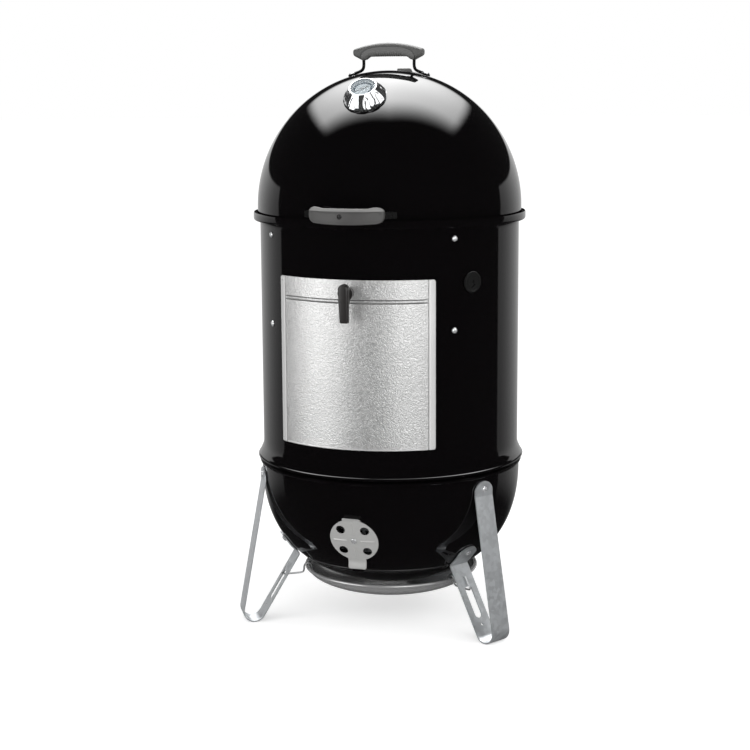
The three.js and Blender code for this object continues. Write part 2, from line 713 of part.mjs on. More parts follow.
/** Points of the handle's bent rod, from foot to foot. */
function handleRodLine() {
  const { legAt } = HANDLE;
  const outerFoot = lidSeat(88).height + 5.2;
  const innerFoot = lidSeat(68).height + 5.4;
  const side = [
    [88, outerFoot], [68, innerFoot], [59, 1187], [legAt, 1196], [legAt, 1212], [legAt - 4, 1219],
    [legAt - 12, 1222],
  ];
  const left = side.map(([x, z]) => [-x, 0, z]);
  const right = side.map(([x, z]) => [x, 0, z]).reverse();
  return [...left, [0, 0, 1223], ...right];
}

/** The bent rod with a flat foot at each end for its bolt. */
function handleBracket() {
  const line = rod(handleRodLine(), HANDLE.rod, HANDLE.rodSteps, 6);
  const feet = [];
  const holes = [];
  for (const angle of [90, -90]) {
    const matrix = seat(lidSeat(HANDLE.footAt, angle));
    const pad = new THREE.CylinderGeometry(9.5, 9.5, 4.4, 12).rotateX(Math.PI / 2).translate(0, 0, 3.2);
    const headRoom = new THREE.CylinderGeometry(7.4, 7.4, 10, 10).rotateX(Math.PI / 2).translate(0, 0, 9.4);
    feet.push(pad.applyMatrix4(matrix));
    holes.push(drill(HOLES.bolt).applyMatrix4(matrix), headRoom.applyMatrix4(matrix));
  }
  return shaped(line, { add: feet, cut: holes });
}

/** The moulded grip: arched above, with a lobe below each end and room for the rod. */
function handleGrip() {
  const { halfLength, width, top } = HANDLE;
  const outline = new THREE.Shape();
  outline.moveTo(-halfLength, 1215);
  outline.lineTo(-58, 1205);
  outline.lineTo(-49, 1206);
  outline.lineTo(-41, 1212.5);
  outline.lineTo(41, 1212.5);
  outline.lineTo(49, 1206);
  outline.lineTo(58, 1205);
  outline.lineTo(halfLength, 1215);
  outline.lineTo(halfLength, 1228);
  outline.quadraticCurveTo(40, top, 0, top);
  outline.quadraticCurveTo(-40, top, -halfLength, 1228);
  const block = new THREE.ExtrudeGeometry(outline, { depth: width, bevelEnabled: false, curveSegments: 5 })
    .rotateX(Math.PI / 2).translate(0, width / 2, 0);
  return shaped(block, { cut: [rod(handleRodLine(), HANDLE.rod + GAP + 0.3, HANDLE.rodSteps, 6)] });
}

/** The chrome case of the thermometer: a sloped skirt over a flat seat for the dial. */
function thermometerCase() {
  const { radius, face, height } = THERMOMETER;
  return turned([
    [radius, -3.1],
    [radius - 0.5, 3],
    [36, 16],
    [29.5, 25.4],
    [28, height],
    [face, height],
    [face, 21],
    [5.2, 21],
    [5.2, 19.4],
    [27.5, 19.4],
    [34.6, 15],
    [radius - 1.9, 2.4],
    [radius - 1.5, -3.1],
  ], 18);
}

function buildThermometer(parent) {
  const { face, stem } = THERMOMETER;
  const matrix = seat(lidSeat(THERMOMETER.fromAxis, 0));
  const seated = (geometry) => geometry.applyMatrix4(matrix);
  place(parent, 'thermometer_case', seated(thermometerCase()), FINISH.chrome);
  const dial = turned([[0, 21.4], [face - GAP, 21.4], [face - GAP, 22.2], [0, 22.2]], 18);
  place(parent, 'thermometer_dial', seated(dial), FINISH.dial);
  const pointer = new THREE.BoxGeometry(2.2, 30, 0.6).translate(0, 2, 23.1);
  pointer.rotateZ(radians(THERMOMETER.needleRest));
  place(parent, 'thermometer_pointer', seated(pointer), FINISH.blackNylon);
  const lens = turned([[0, 24.4], [face - GAP, 24.4], [face - GAP, 26], [0, 26.8]], 18);
  place(parent, 'thermometer_lens', seated(lens), FINISH.glass);
  const probe = turned([
    [0, -stem], [2.4, -stem], [2.4, -13], [4.6, -13], [4.6, 20.6], [0, 20.6],
  ], 10);
  place(parent, 'thermometer_probe', seated(probe), FINISH.bolt);
  const nut = turned([[5.7, -10], [11, -10], [11, -5.4], [5.7, -5.4]], 6);
  place(parent, 'thermometer_nut', seated(nut), FINISH.bolt);
}

/** Plan outline of the bowed rim grip. */
function rimGripOutline() {
  const { halfLength, front, endFront } = GRIP;
  const steps = 6;
  const bow = (depth, x) => depth + (front - endFront) * (1 - (x / halfLength) ** 2);
  const outer = [];
  const inner = [];
  for (let i = -steps; i <= steps; i += 1) {
    const share = i / steps;
    outer.push([halfLength * share, -bow(endFront, halfLength * share)]);
    inner.push([(halfLength - 1) * share, -bow(endFront - 12, halfLength * share)]);
  }
  return [...outer, ...inner.reverse()];
}

/** The bracket behind the rim grip: a bowed strip with a foot on the lid at each end. */
function rimBracket() {
  const path = [
    [-97, -266.6], [-84, -271.2], [-76, -279.2], [-56, -289.6], [-28, -299.4], [0, -302.6],
    [28, -299.4], [56, -289.6], [76, -279.2], [84, -271.2], [97, -266.6],
  ];
  const strip = stripOutline(path, 2).getPoints().map((point) => [point.x, point.y]);
  return shaped(upright(strip, 892, 906), { cut: [screwHole()] });
}

/** The screw's hole through grip or bracket. */
function screwHole() {
  const peg = new THREE.CylinderGeometry(HOLES.screw, HOLES.screw, 60, HOLE_FACETS);
  return peg.translate(GRIP.screwAt, -310, GRIP.height);
}

function buildRimGrip(parent) {
  const { height, tall, front, screwAt } = GRIP;
  const recess = new THREE.CylinderGeometry(4.5, 4.5, 8, HOLE_FACETS).translate(screwAt, -front + 1, height);
  const bar = upright(rimGripOutline(), height - tall / 2, height + tall / 2);
  const cornerTrims = [-1, 1].flatMap((side) => [-1, 1].map((level) => new THREE.BoxGeometry(16, 90, 16)
    .rotateY(Math.PI / 4)
    .translate(side * (GRIP.halfLength + 2), -290, height + level * (tall / 2 + 2))));
  const grip = shaped(bar, { cut: [recess, screwHole(), ...cornerTrims] });
  place(parent, 'rim_grip', grip, FINISH.greyNylon);
  place(parent, 'rim_grip_bracket', rimBracket(), FINISH.blackSteel);
  const screw = turned([
    [0, 0], [4, 0], [4, 1.6], [2.3, 1.6], [2.3, 15], [3.9, 15], [3.2, 17], [0, 17.4],
  ], 8);
  const forward = new THREE.Matrix4().makeBasis(
    new THREE.Vector3(1, 0, 0), new THREE.Vector3(0, 0, 1), new THREE.Vector3(0, -1, 0));
  screw.applyMatrix4(forward).translate(screwAt, -298.6, height);
  place(parent, 'rim_grip_screw', screw, FINISH.bolt);
}

function buildLid() {
  const top = new THREE.Group();
  place(top, 'lid', lid(), FINISH.enamel);
  place(top, 'handle_bracket', handleBracket(), FINISH.blackSteel);
  place(top, 'handle_grip', handleGrip(), FINISH.greyNylon);
  for (const [side, angle] of [['left', -90], ['right', 90]]) {
    const bolt = boltAndNut(9.4, 6, 3.6).translate(0, 0, 4.8)
      .applyMatrix4(seat(lidSeat(HANDLE.footAt, 0)));
    place(top, `${side}_handle_bolt`, bolt, FINISH.bolt, angle);
  }
  const damperSeat = seat(lidSeat(LID_DAMPER.fromAxis, 0));
  place(top, 'lid_damper', damper().applyMatrix4(damperSeat), FINISH.aluminium, LID_DAMPER.angle);
  place(top, 'lid_damper_rivet', damperRivet().applyMatrix4(damperSeat), FINISH.bolt, LID_DAMPER.angle);
  buildThermometer(top);
  buildRimGrip(top);
  smoker.add(top);
}

buildBase();
buildCentre();
buildDoor();
buildLid();

export default smoker;
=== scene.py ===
"""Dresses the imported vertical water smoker: finished pieces, finishes, floor, light and camera.

Sizes are in millimetres in the frame's own axes: +Z up, -Y the front, and angles in degrees
from the front towards +X. A piece is scaled to metres when it is forged.
"""

import json
import logging
import math
from dataclasses import dataclass
from enum import Enum
from typing import Callable, Optional, Protocol, Sequence, Union

import bpy
import bmesh
import numpy as np
from mathutils import Matrix, Vector
from mathutils.geometry import tessellate_polygon

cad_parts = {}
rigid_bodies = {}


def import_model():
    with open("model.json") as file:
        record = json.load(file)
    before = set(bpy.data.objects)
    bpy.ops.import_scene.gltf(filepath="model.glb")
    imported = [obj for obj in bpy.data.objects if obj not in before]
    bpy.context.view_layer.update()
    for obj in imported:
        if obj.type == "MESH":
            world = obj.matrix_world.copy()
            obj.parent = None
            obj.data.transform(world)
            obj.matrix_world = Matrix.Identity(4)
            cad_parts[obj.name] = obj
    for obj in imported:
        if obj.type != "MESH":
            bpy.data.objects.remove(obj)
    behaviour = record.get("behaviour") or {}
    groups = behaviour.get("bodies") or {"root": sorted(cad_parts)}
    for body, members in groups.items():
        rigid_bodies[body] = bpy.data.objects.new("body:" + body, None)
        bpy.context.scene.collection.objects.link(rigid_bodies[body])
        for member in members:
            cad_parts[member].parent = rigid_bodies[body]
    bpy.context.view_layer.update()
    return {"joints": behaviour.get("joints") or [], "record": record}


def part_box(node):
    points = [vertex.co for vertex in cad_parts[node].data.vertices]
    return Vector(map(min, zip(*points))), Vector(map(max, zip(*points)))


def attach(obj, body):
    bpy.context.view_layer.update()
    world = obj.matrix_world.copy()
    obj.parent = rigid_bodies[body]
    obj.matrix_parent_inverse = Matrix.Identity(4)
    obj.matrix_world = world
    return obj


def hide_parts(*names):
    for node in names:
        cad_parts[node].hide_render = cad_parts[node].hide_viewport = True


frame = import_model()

log = logging.getLogger("smoker")

MM = 0.001
GAP = 0.4
SHEET = 1.2
Colour = tuple[float, float, float]
Pair = tuple[float, float]
Place = Callable[[float, float, float], Sequence[float]]

RECORD = frame["record"]
BODY_OF = {node: body for body, nodes in RECORD["behaviour"]["bodies"].items() for node in nodes}
JOINT_OF = {joint["name"]: joint for joint in frame["joints"]}


# ---------------------------------------------------------------- mesh stock


@dataclass
class Blank:
    """Mesh stock in millimetres, before it is forged into a piece."""

    points: np.ndarray
    faces: list[tuple[int, ...]]

    def moved(self, matrix: Matrix) -> "Blank":
        """A copy that is moved by a matrix."""
        grid = np.array(matrix)
        return Blank(self.points @ grid[:3, :3].T + grid[:3, 3], self.faces)

    def turned(self, angle: float) -> "Blank":
        """A copy that is turned round the body by an angle in degrees."""
        return self.moved(Matrix.Rotation(math.radians(angle), 4, "Z"))

    def raised(self, height: float) -> "Blank":
        """A copy that is lifted along its own +Z."""
        return self.moved(Matrix.Translation((0, 0, height)))

    def with_parts(self, *others: "Blank") -> "Blank":
        """One blank that holds this one and others.

        Args:
            others: The blanks to add.

        Returns:
            The joined blank.
        """
        points, faces, count = [self.points], list(self.faces), len(self.points)
        for other in others:
            faces += [tuple(index + count for index in face) for face in other.faces]
            points.append(other.points)
            count += len(other.points)
        return Blank(np.concatenate(points), faces)


def lathe(profile: Sequence[Pair], facets: int = 160) -> Blank:
    """Turns a closed profile round +Z.

    Args:
        profile: Points of (radius, height); a radius of 0 is a pole.
        facets: How many facets go round.

    Returns:
        The turned blank.
    """
    angles = full_turn(facets)
    points: list[Sequence[float]] = []
    rows: list[list[int]] = []
    for radius, height in profile:
        if radius < 1e-6:
            rows.append([len(points)] * facets)
            points.append((0, 0, height))
            continue
        rows.append(list(range(len(points), len(points) + facets)))
        points += [(radius * math.sin(a), -radius * math.cos(a), height) for a in angles]
    faces = []
    for low, high in zip(rows, rows[1:] + rows[:1]):
        for i in range(facets):
            j = (i + 1) % facets
            corners = tuple(dict.fromkeys((low[i], low[j], high[j], high[i])))
            if len(corners) > 2:
                faces.append(corners)
    return Blank(np.array(points, float), faces)


def loft(rings: Sequence) -> Blank:
    """Joins rings of equal point count into a closed skin.

    Args:
        rings: Rings by points by 3.

    Returns:
        The skinned blank, with a face over each end.
    """
    rings = np.array(rings, float)
    count, around = rings.shape[:2]
    faces = [tuple(range(around)), tuple(range((count - 1) * around, count * around))]
    for row in range(count - 1):
        for i in range(around):
            j = (i + 1) % around
            base = row * around
            faces.append((base + i, base + j, base + around + j, base + around + i))
    return Blank(rings.reshape(-1, 3), faces)


def smooth_line(points: Sequence[Sequence[float]], steps: int = 8) -> np.ndarray:
    """A smooth curve through points.

    Args:
        points: The points that the curve goes through.
        steps: How many short lines there are between two points.

    Returns:
        The curve's points.
    """
    p = np.array(points, float)
    ends = np.vstack([2 * p[0] - p[1], p, 2 * p[-1] - p[-2]])
    line = []
    for i in range(1, len(ends) - 2):
        a, b, c, d = ends[i - 1], ends[i], ends[i + 1], ends[i + 2]
        for t in np.linspace(0, 1, steps, endpoint=False):
            line.append(0.5 * (2 * b + (c - a) * t + (2 * a - 5 * b + 4 * c - d) * t**2
                               + (3 * b - a - 3 * c + d) * t**3))
    return np.array(line + [p[-1]])


def tube(path: np.ndarray, radius: float, sides: int = 14) -> Blank:
    """A round rod along a path, with slightly rounded ends.

    Args:
        path: The points of its centre line.
        radius: The rod's radius.
        sides: How many facets go round it.

    Returns:
        The rod.
    """
    tangents = np.gradient(path, axis=0)
    tangents /= np.linalg.norm(tangents, axis=1)[:, None]
    side = np.cross(tangents[0], [0.3, 0.5, 0.81])
    rings = []
    angles = full_turn(sides)
    for index, (centre, tangent) in enumerate(zip(path, tangents)):
        side = side - tangent * side.dot(tangent)
        side /= np.linalg.norm(side)
        other = np.cross(tangent, side)
        ring = [math.cos(a) * side + math.sin(a) * other for a in angles]
        if index == 0:
            rings.append(centre + 0.7 * radius * np.array(ring))
            rings.append(centre + 0.3 * radius * tangent + radius * np.array(ring))
        elif index == len(path) - 1:
            rings.append(centre - 0.3 * radius * tangent + radius * np.array(ring))
            rings.append(centre + 0.7 * radius * np.array(ring))
        else:
            rings.append(centre + radius * np.array(ring))
    return loft(rings)


def prism(outline: Sequence[Pair], low: float, high: float) -> Blank:
    """Extrudes an outline of (x, y) points from one height to another."""
    return loft([[(x, y, z) for x, y in outline] for z in (low, high)])


def bent_sheet(
    outline: Sequence[Pair],
    thickness: float,
    place: Place,
    holes: Sequence[Sequence[Pair]] = (),
    along: Sequence[float] = (),
    across: Sequence[float] = (),
) -> Blank:
    """Cuts a flat sheet to an outline and bends it into place.

    Args:
        outline: The flat outline, as (s, t) points.
        thickness: The sheet's thickness.
        place: Where a flat point (s, t) at a depth w in the sheet ends up.
        holes: The outlines of its holes.
        along: Where s is divided, so that the sheet can bend there.
        across: Where t is divided.

    Returns:
        The bent sheet as a closed blank.
    """
    loops = [[Vector((s, t, 0)) for s, t in loop] for loop in (outline, *holes)]
    mesh = bmesh.new()
    corners = [mesh.verts.new(point) for loop in loops for point in loop]
    for triangle in tessellate_polygon(loops):
        mesh.faces.new([corners[i] for i in triangle])
    for axis, stations in ((Vector((1, 0, 0)), along), (Vector((0, 1, 0)), across)):
        for station in stations:
            everything = mesh.verts[:] + mesh.edges[:] + mesh.faces[:]
            bmesh.ops.bisect_plane(
                mesh, geom=everything, dist=1e-4, plane_co=axis * station, plane_no=axis)
    bmesh.ops.recalc_face_normals(mesh, faces=mesh.faces[:])
    mesh.verts.index_update()
    flat = [(v.co.x, v.co.y) for v in mesh.verts]
    faces = [tuple(v.index for v in face.verts) for face in mesh.faces]
    rim = [tuple(v.index for v in edge.verts) for edge in mesh.edges if edge.is_boundary]
    mesh.free()
    count = len(flat)
    points = [place(s, t, w) for w in (0.0, thickness) for s, t in flat]
    faces += [tuple(index + count for index in reversed(face)) for face in faces]
    faces += [(a, b, b + count, a + count) for a, b in rim]
    return Blank(np.array(points, float), faces)


def drilled(blank: Blank, cutters: Sequence[Blank]) -> Blank:
    """Cuts shapes out of a blank.

    Args:
        blank: The blank to cut.
        cutters: Closed blanks that don't overlap each other.

    Returns:
        What is left of the blank.
    """
    stock = bare_object("stock", blank)
    tool = bare_object("tool", cutters[0].with_parts(*cutters[1:]))
    cut = stock.modifiers.new("cut", "BOOLEAN")
    cut.operation, cut.object, cut.solver = "DIFFERENCE", tool, "EXACT"
    bpy.context.view_layer.update()
    mesh = stock.evaluated_get(bpy.context.evaluated_depsgraph_get()).to_mesh()
    points = np.array([v.co for v in mesh.vertices], float) / MM
    faces = [tuple(face.vertices) for face in mesh.polygons]
    for item in (stock, tool):
        bpy.data.objects.remove(item)
    return Blank(points, faces)


def bare_object(name: str, blank: Blank) -> bpy.types.Object:
    """A mesh object in metres, with its faces turned outwards.

    Args:
        name: The object's name.
        blank: What it is made of.

    Returns:
        The object, linked to the scene.
    """
    mesh = bpy.data.meshes.new(name)
    mesh.from_pydata((blank.points * MM).tolist(), [], blank.faces)
    work = bmesh.new()
    work.from_mesh(mesh)
    bmesh.ops.remove_doubles(work, verts=work.verts, dist=2e-6)
    bmesh.ops.recalc_face_normals(work, faces=work.faces)
    work.to_mesh(mesh)
    work.free()
    made = bpy.data.objects.new(name, mesh)
    bpy.context.scene.collection.objects.link(made)
    return made


# ---------------------------------------------------------------- outlines and seats


def full_turn(count: int) -> np.ndarray:
    """Angles that share out a full turn."""
    return np.linspace(0, 2 * math.pi, count, endpoint=False)


def round_points(radius: float, centre: Pair, angles: np.ndarray) -> list[Pair]:
    """The points of a circle at some angles in radians."""
    return [(centre[0] + radius * math.cos(a), centre[1] + radius * math.sin(a)) for a in angles]


def circle(radius: float, centre: Pair = (0, 0), count: int = 24) -> list[Pair]:
    """A round outline."""
    return round_points(radius, centre, full_turn(count))


def domed(radius: float, base: float, rise: float, count: int) -> list[Pair]:
    """The profile of a dome from its edge to just before its pole."""
    turns = np.linspace(0, math.pi / 2, count)[:-1]
    return [(radius * math.cos(a), base + rise * math.sin(a)) for a in turns]


def hexagonal(stations: Sequence[Pair]) -> Blank:
    """A six-sided nut through stations of (corner radius, height)."""
    return loft([[(x, y, z) for x, y in circle(radius, count=6)] for radius, z in stations])


def squared(value: float, power: float) -> float:
    """A sine or cosine that is raised to a power but keeps its sign, which squares a circle."""
    return math.copysign(abs(value) ** power, value)


def arc(radius: float, centre: Pair, start: float, end: float, count: int = 8) -> list[Pair]:
    """Points of an arc between two angles in degrees."""
    return round_points(radius, centre, np.radians(np.linspace(start, end, count)))


def rounded_box(half_s: float, half_t: float, radius: float, count: int = 6) -> list[Pair]:
    """A rectangle with rounded corners, centred on the origin."""
    s, t = half_s - radius, half_t - radius
    corners = ((s, t, 0), (-s, t, 90), (-s, -t, 180), (s, -t, 270))
    return [point for x, y, turn in corners for point in arc(radius, (x, y), turn, turn + 90, count)]


def mirrored(points: Sequence[Pair]) -> list[Pair]:
    """The points on the other side of the vertical axis, in reverse."""
    return [(-s, t) for s, t in reversed(points)]


def smoothstep(value: float, low: float, high: float) -> float:
    """0 below low, 1 above high and smooth between them."""
    share = min(max((value - low) / (high - low), 0.0), 1.0)
    return share * share * (3 - 2 * share)


def ridge(value: float, width: float) -> float:
    """A smooth bump, 1 at 0 and 0 beyond half the width."""
    return 1 - smoothstep(abs(value), 0.0, width / 2)


def seat(radius: float, height: float, tilt: float = 0.0, angle: float = 0.0) -> Matrix:
    """The matrix of a seat on a round wall, whose own +Z points outwards.

    Args:
        radius: Its distance from the body's axis.
        height: Its height.
        tilt: How far it looks up, in radians.
        angle: Where it is round the body, in degrees.

    Returns:
        The matrix from the seat to the frame.
    """
    up, out = math.cos(tilt), math.sin(tilt)
    grid = Matrix(((1, 0, 0, 0), (0, out, -up, -radius), (0, up, out, height), (0, 0, 0, 1)))
    return Matrix.Rotation(math.radians(angle), 4, "Z") @ grid


def joint_seat(name: str) -> Matrix:
    """The seat whose origin and +Z are a hinge's pivot and axis, with +Y uphill."""
    joint = JOINT_OF[name]
    outward = Vector(joint["axis"]).normalized()
    uphill = (Vector((0, 0, 1)) - outward * outward.z).normalized()
    sideways = uphill.cross(outward)
    grid = Matrix((sideways, uphill, outward)).transposed().to_4x4()
    return Matrix.Translation(Vector(joint["pos_m"]) / MM) @ grid


def round_wall(radius: float) -> Place:
    """Wraps a flat (distance round the front, height) sheet on a wall of a radius."""
    def place(s: float, t: float, w: float) -> Sequence[float]:
        """Where a flat point goes."""
        turn = s / radius
        return ((radius + w) * math.sin(turn), -(radius + w) * math.cos(turn), t)
    return place


class StripPath:
    """A path in the (radius, height) plane that a strip follows, at the front of the body."""

    def __init__(self, line: Sequence[Pair]) -> None:
        """Measures the line and its directions."""
        self.line = np.array(line, float)
        steps = np.linalg.norm(np.diff(self.line, axis=0), axis=1)
        self.stations = np.concatenate([[0.0], np.cumsum(steps)])
        directions = np.diff(self.line, axis=0) / steps[:, None]
        blended = np.vstack([directions[:1], directions[:-1] + directions[1:], directions[-1:]])
        self.directions = blended / np.linalg.norm(blended, axis=1)[:, None]
        self.length = float(self.stations[-1])

    def place(self, s: float, t: float, w: float) -> Sequence[float]:
        """Where a flat point goes: s along the path, t sideways and w to the path's left."""
        radius, height = (float(np.interp(s, self.stations, self.line[:, k])) for k in (0, 1))
        ahead, up = (float(np.interp(s, self.stations, self.directions[:, k])) for k in (0, 1))
        scale = math.hypot(ahead, up)
        return (t, -(radius - w * up / scale), height + w * ahead / scale)

    def centred(self, s: float, t: float, w: float) -> Sequence[float]:
        """Where a point of a 2 mm strip goes, when the path runs through the strip's middle."""
        return self.place(s, t, w - 1)


def filleted(corners: Sequence[Pair], radius: float, count: int = 5) -> list[Pair]:
    """A path with each inner corner rounded.

    Args:
        corners: The path's corners.
        radius: The bend radius.
        count: How many points a bend takes.

    Returns:
        The rounded path.
    """
    line: list[Pair] = [tuple(corners[0])]
    for before, corner, after in zip(corners, corners[1:], corners[2:]):
        here = Vector(corner)
        back, ahead = Vector(before) - here, Vector(after) - here
        half = back.angle(ahead) / 2
        reach = min(radius / math.tan(half), 0.45 * back.length, 0.45 * ahead.length)
        start, end = here + back.normalized() * reach, here + ahead.normalized() * reach
        for share in np.linspace(0, 1, count):
            point = start * (1 - share) ** 2 + here * 2 * share * (1 - share) + end * share**2
            line.append((point.x, point.y))
    line.append(tuple(corners[-1]))
    return line


# ---------------------------------------------------------------- node trees


class Flow:
    """A value that runs between nodes; arithmetic on it adds Math nodes."""

    def __init__(self, tree: "Tree", socket: bpy.types.NodeSocket) -> None:
        """Wraps a socket of a tree."""
        self.tree = tree
        self.socket = socket

    def _maths(self, operation: str, *values: "Value") -> "Flow":
        """The result of a Math node on some values."""
        return self.tree.node("ShaderNodeMath", {"operation": operation}, dict(enumerate(values)))

    def __add__(self, other: "Value") -> "Flow":
        """This plus another."""
        return self._maths("ADD", self, other)

    def __sub__(self, other: "Value") -> "Flow":
        """This less another."""
        return self._maths("SUBTRACT", self, other)

    def __rsub__(self, other: float) -> "Flow":
        """A number less this."""
        return self._maths("SUBTRACT", other, self)

    def __mul__(self, other: "Value") -> "Flow":
        """This times another."""
        return self._maths("MULTIPLY", self, other)

    def __truediv__(self, other: "Value") -> "Flow":
        """This over another."""
        return self._maths("DIVIDE", self, other)

    def __rtruediv__(self, other: float) -> "Flow":
        """A number over this."""
        return self._maths("DIVIDE", other, self)

    def __pow__(self, other: "Value") -> "Flow":
        """This to a power."""
        return self._maths("POWER", self, other)

    def __abs__(self) -> "Flow":
        """This without its sign."""
        return self._maths("ABSOLUTE", self)

    __radd__ = __add__
    __rmul__ = __mul__

    def at_least(self, other: "Value") -> "Flow":
        """The larger of this and another."""
        return self._maths("MAXIMUM", self, other)

    def cosine(self) -> "Flow":
        """The cosine of this."""
        return self._maths("COSINE", self)

    def nearest(self) -> "Flow":
        """This, rounded."""
        return self._maths("ROUND", self)

    def angle_to(self, other: "Value") -> "Flow":
        """The angle of the point (other, this), in radians."""
        return self._maths("ARCTAN2", self, other)

    def step(self, low: float, high: float) -> "Flow":
        """0 below low, 1 above high and smooth between them."""
        return self.tree.node(
            "ShaderNodeMapRange", {"interpolation_type": "SMOOTHSTEP"},
            {"Value": self, "From Min": low, "From Max": high})


Value = Union[float, Flow]


class Tree:
    """A node tree, with one method that adds every node."""

    def __init__(self, tree: bpy.types.NodeTree) -> None:
        """Empties a tree."""
        self.tree = tree
        tree.nodes.clear()

    def node(
        self,
        kind: str,
        settings: Optional[dict] = None,
        inputs: Optional[dict] = None,
        output: Union[int, str] = 0,
    ) -> Optional[Flow]:
        """Adds a node.

        Args:
            kind: The node's type.
            settings: Its properties, which are set first; "stops" fills a colour ramp.
            inputs: A value or a Flow for each input, by name or index.
            output: Which output is wanted.

        Returns:
            That output, or None if the node has none.
        """
        made = self.tree.nodes.new(kind)
        for key, value in (settings or {}).items():
            if key == "stops":
                for place, colour in value[len(made.color_ramp.elements):]:
                    made.color_ramp.elements.new(place)
                for element, (place, colour) in zip(made.color_ramp.elements, value):
                    element.position, element.color = place, (*colour, 1)
            else:
                setattr(made, key, value)
        for key, value in (inputs or {}).items():
            if isinstance(value, Flow):
                self.tree.links.new(value.socket, made.inputs[key])
            else:
                made.inputs[key].default_value = value
        return Flow(self, made.outputs[output]) if made.outputs else None

    def mix(self, share: Value, first: Union[Colour, Flow], second: Union[Colour, Flow]) -> Flow:
        """A colour between two."""
        first, second = (c if isinstance(c, Flow) else (*c, 1) for c in (first, second))
        return self.node("ShaderNodeMix", {"data_type": "RGBA"}, {0: share, 6: first, 7: second}, 2)

    def place(self, stretch: Sequence[float] = (1, 1, 1)) -> Flow:
        """The point on the piece, in metres, with each axis stretched."""
        point = self.node("ShaderNodeTexCoord", output="Object")
        return self.node("ShaderNodeVectorMath", {"operation": "MULTIPLY"}, {0: point, 1: stretch})

    def along(self, point: Flow, axis: Sequence[float]) -> Flow:
        """How far a point is along an axis."""
        return self.node("ShaderNodeVectorMath", {"operation": "DOT_PRODUCT"}, {0: point, 1: axis}, 1)

    def noise(self, point: Flow, scale: float, detail: float = 2.0, distortion: float = 0.0) -> Flow:
        """Soft noise round 0.5."""
        return self.node("ShaderNodeTexNoise", None, {
            "Vector": point, "Scale": scale, "Detail": detail, "Distortion": distortion})

    def cells(self, point: Flow, scale: float, output: Union[int, str] = 0) -> Flow:
        """The distance to the middle of the nearest cell, or its colour."""
        return self.node("ShaderNodeTexVoronoi", None, {"Vector": point, "Scale": scale}, output)

    def bump(self, height: Flow, strength: float, distance: float) -> Flow:
        """A normal that follows a height."""
        return self.node("ShaderNodeBump", None, {
            "Height": height, "Strength": strength, "Distance": distance})

    def surface(self, inputs: dict) -> Flow:
        """A general surface shader."""
        return self.node("ShaderNodeBsdfPrincipled", None, inputs)


# ---------------------------------------------------------------- finishes


class Finish(Protocol):
    """What a finish has to offer."""

    name: str

    def shade(self, tree: Tree) -> Flow:
        """Builds the finish's shader."""


class Grain(Enum):
    """What the surface of a metal shows up close."""

    SPANGLE = "zinc crystals"
    BRUSHED = "fine lines"
    STUCCO = "pressed pebble pattern"
    POLISHED = "faint smudges"


def tinted(colour: Colour, share: float) -> Colour:
    """A colour made lighter or darker."""
    return tuple(min(part * share, 1.0) for part in colour)


@dataclass(frozen=True)
class Enamel:
    """Glossy porcelain enamel."""

    name: str = "black_enamel"
    colour: Colour = (0.0022, 0.0018, 0.0021)
    roughness: float = 0.03

    def shade(self, tree: Tree) -> Flow:
        """Near-black glaze with a faint orange-peel ripple and a little haze."""
        point = tree.place()
        haze = tree.noise(point, 9.0, 4.0)
        speck = tree.noise(point, 900.0, 1.0).step(0.70, 0.78)
        ripple = tree.noise(point, 75.0, 2.0)
        return tree.surface({
            "Base Color": tree.mix(speck * 0.5, self.colour, tinted(self.colour, 4.0)),
            "Roughness": self.roughness + haze * 0.035,
            "IOR": 1.5,
            "Normal": tree.bump(ripple, 0.05, 0.0006),
        })


@dataclass(frozen=True)
class Metal:
    """Bare or plated metal."""

    name: str
    colour: Colour
    roughness: float
    grain: Grain
    metallic: float = 1.0

    def crease_shade(self, tree: Tree, point: Flow, colour: Flow) -> Flow:
        """The painted shade that darkens the colour in creases; plain metal has nothing."""
        return colour

    def shade(self, tree: Tree) -> Flow:
        """Metal with its own grain in colour, gloss and relief."""
        point = tree.place()
        cloud = tree.noise(point, 14.0, 5.0)
        if self.grain is Grain.SPANGLE:
            crystal = tree.node("ShaderNodeSeparateColor", None, {"Color": tree.cells(point, 120.0, 1)})
            height = tree.noise(point, 1300.0, 3.0)
            share, relief, gloss = crystal * 0.6 + cloud * 0.4, (0.10, 0.0004), crystal * 0.10
        elif self.grain is Grain.BRUSHED:
            lines = tree.noise(tree.place((60.0, 900.0, 900.0)), 1.0, 3.0)
            height = lines + tree.noise(point, 700.0, 2.0) * 0.4
            share, relief, gloss = lines * 0.5 + cloud * 0.5, (0.06, 0.0004), lines * 0.10
        elif self.grain is Grain.STUCCO:
            pebble = tree.cells(point, 300.0).step(0.05, 0.62)
            worm = tree.noise(point, 210.0, 2.0, 1.6).step(0.35, 0.68)
            height = worm * 0.65 - pebble * 0.35
            share, relief, gloss = worm * 0.5 + cloud * 0.5, (0.32, 0.0013), worm * 0.08
        else:
            smudge = tree.noise(point, 60.0, 5.0).step(0.35, 0.75)
            height = tree.noise(point, 500.0, 2.0)
            share, relief, gloss = smudge * 0.7 + cloud * 0.3, (0.02, 0.0003), smudge * 0.06
        cloudy = tree.mix(share, tinted(self.colour, 0.84), tinted(self.colour, 1.10))
        return tree.surface({
            "Base Color": self.crease_shade(tree, point, cloudy),
            "Metallic": self.metallic,
            "Roughness": gloss + self.roughness,
            "Normal": tree.bump(height, *relief),
        })


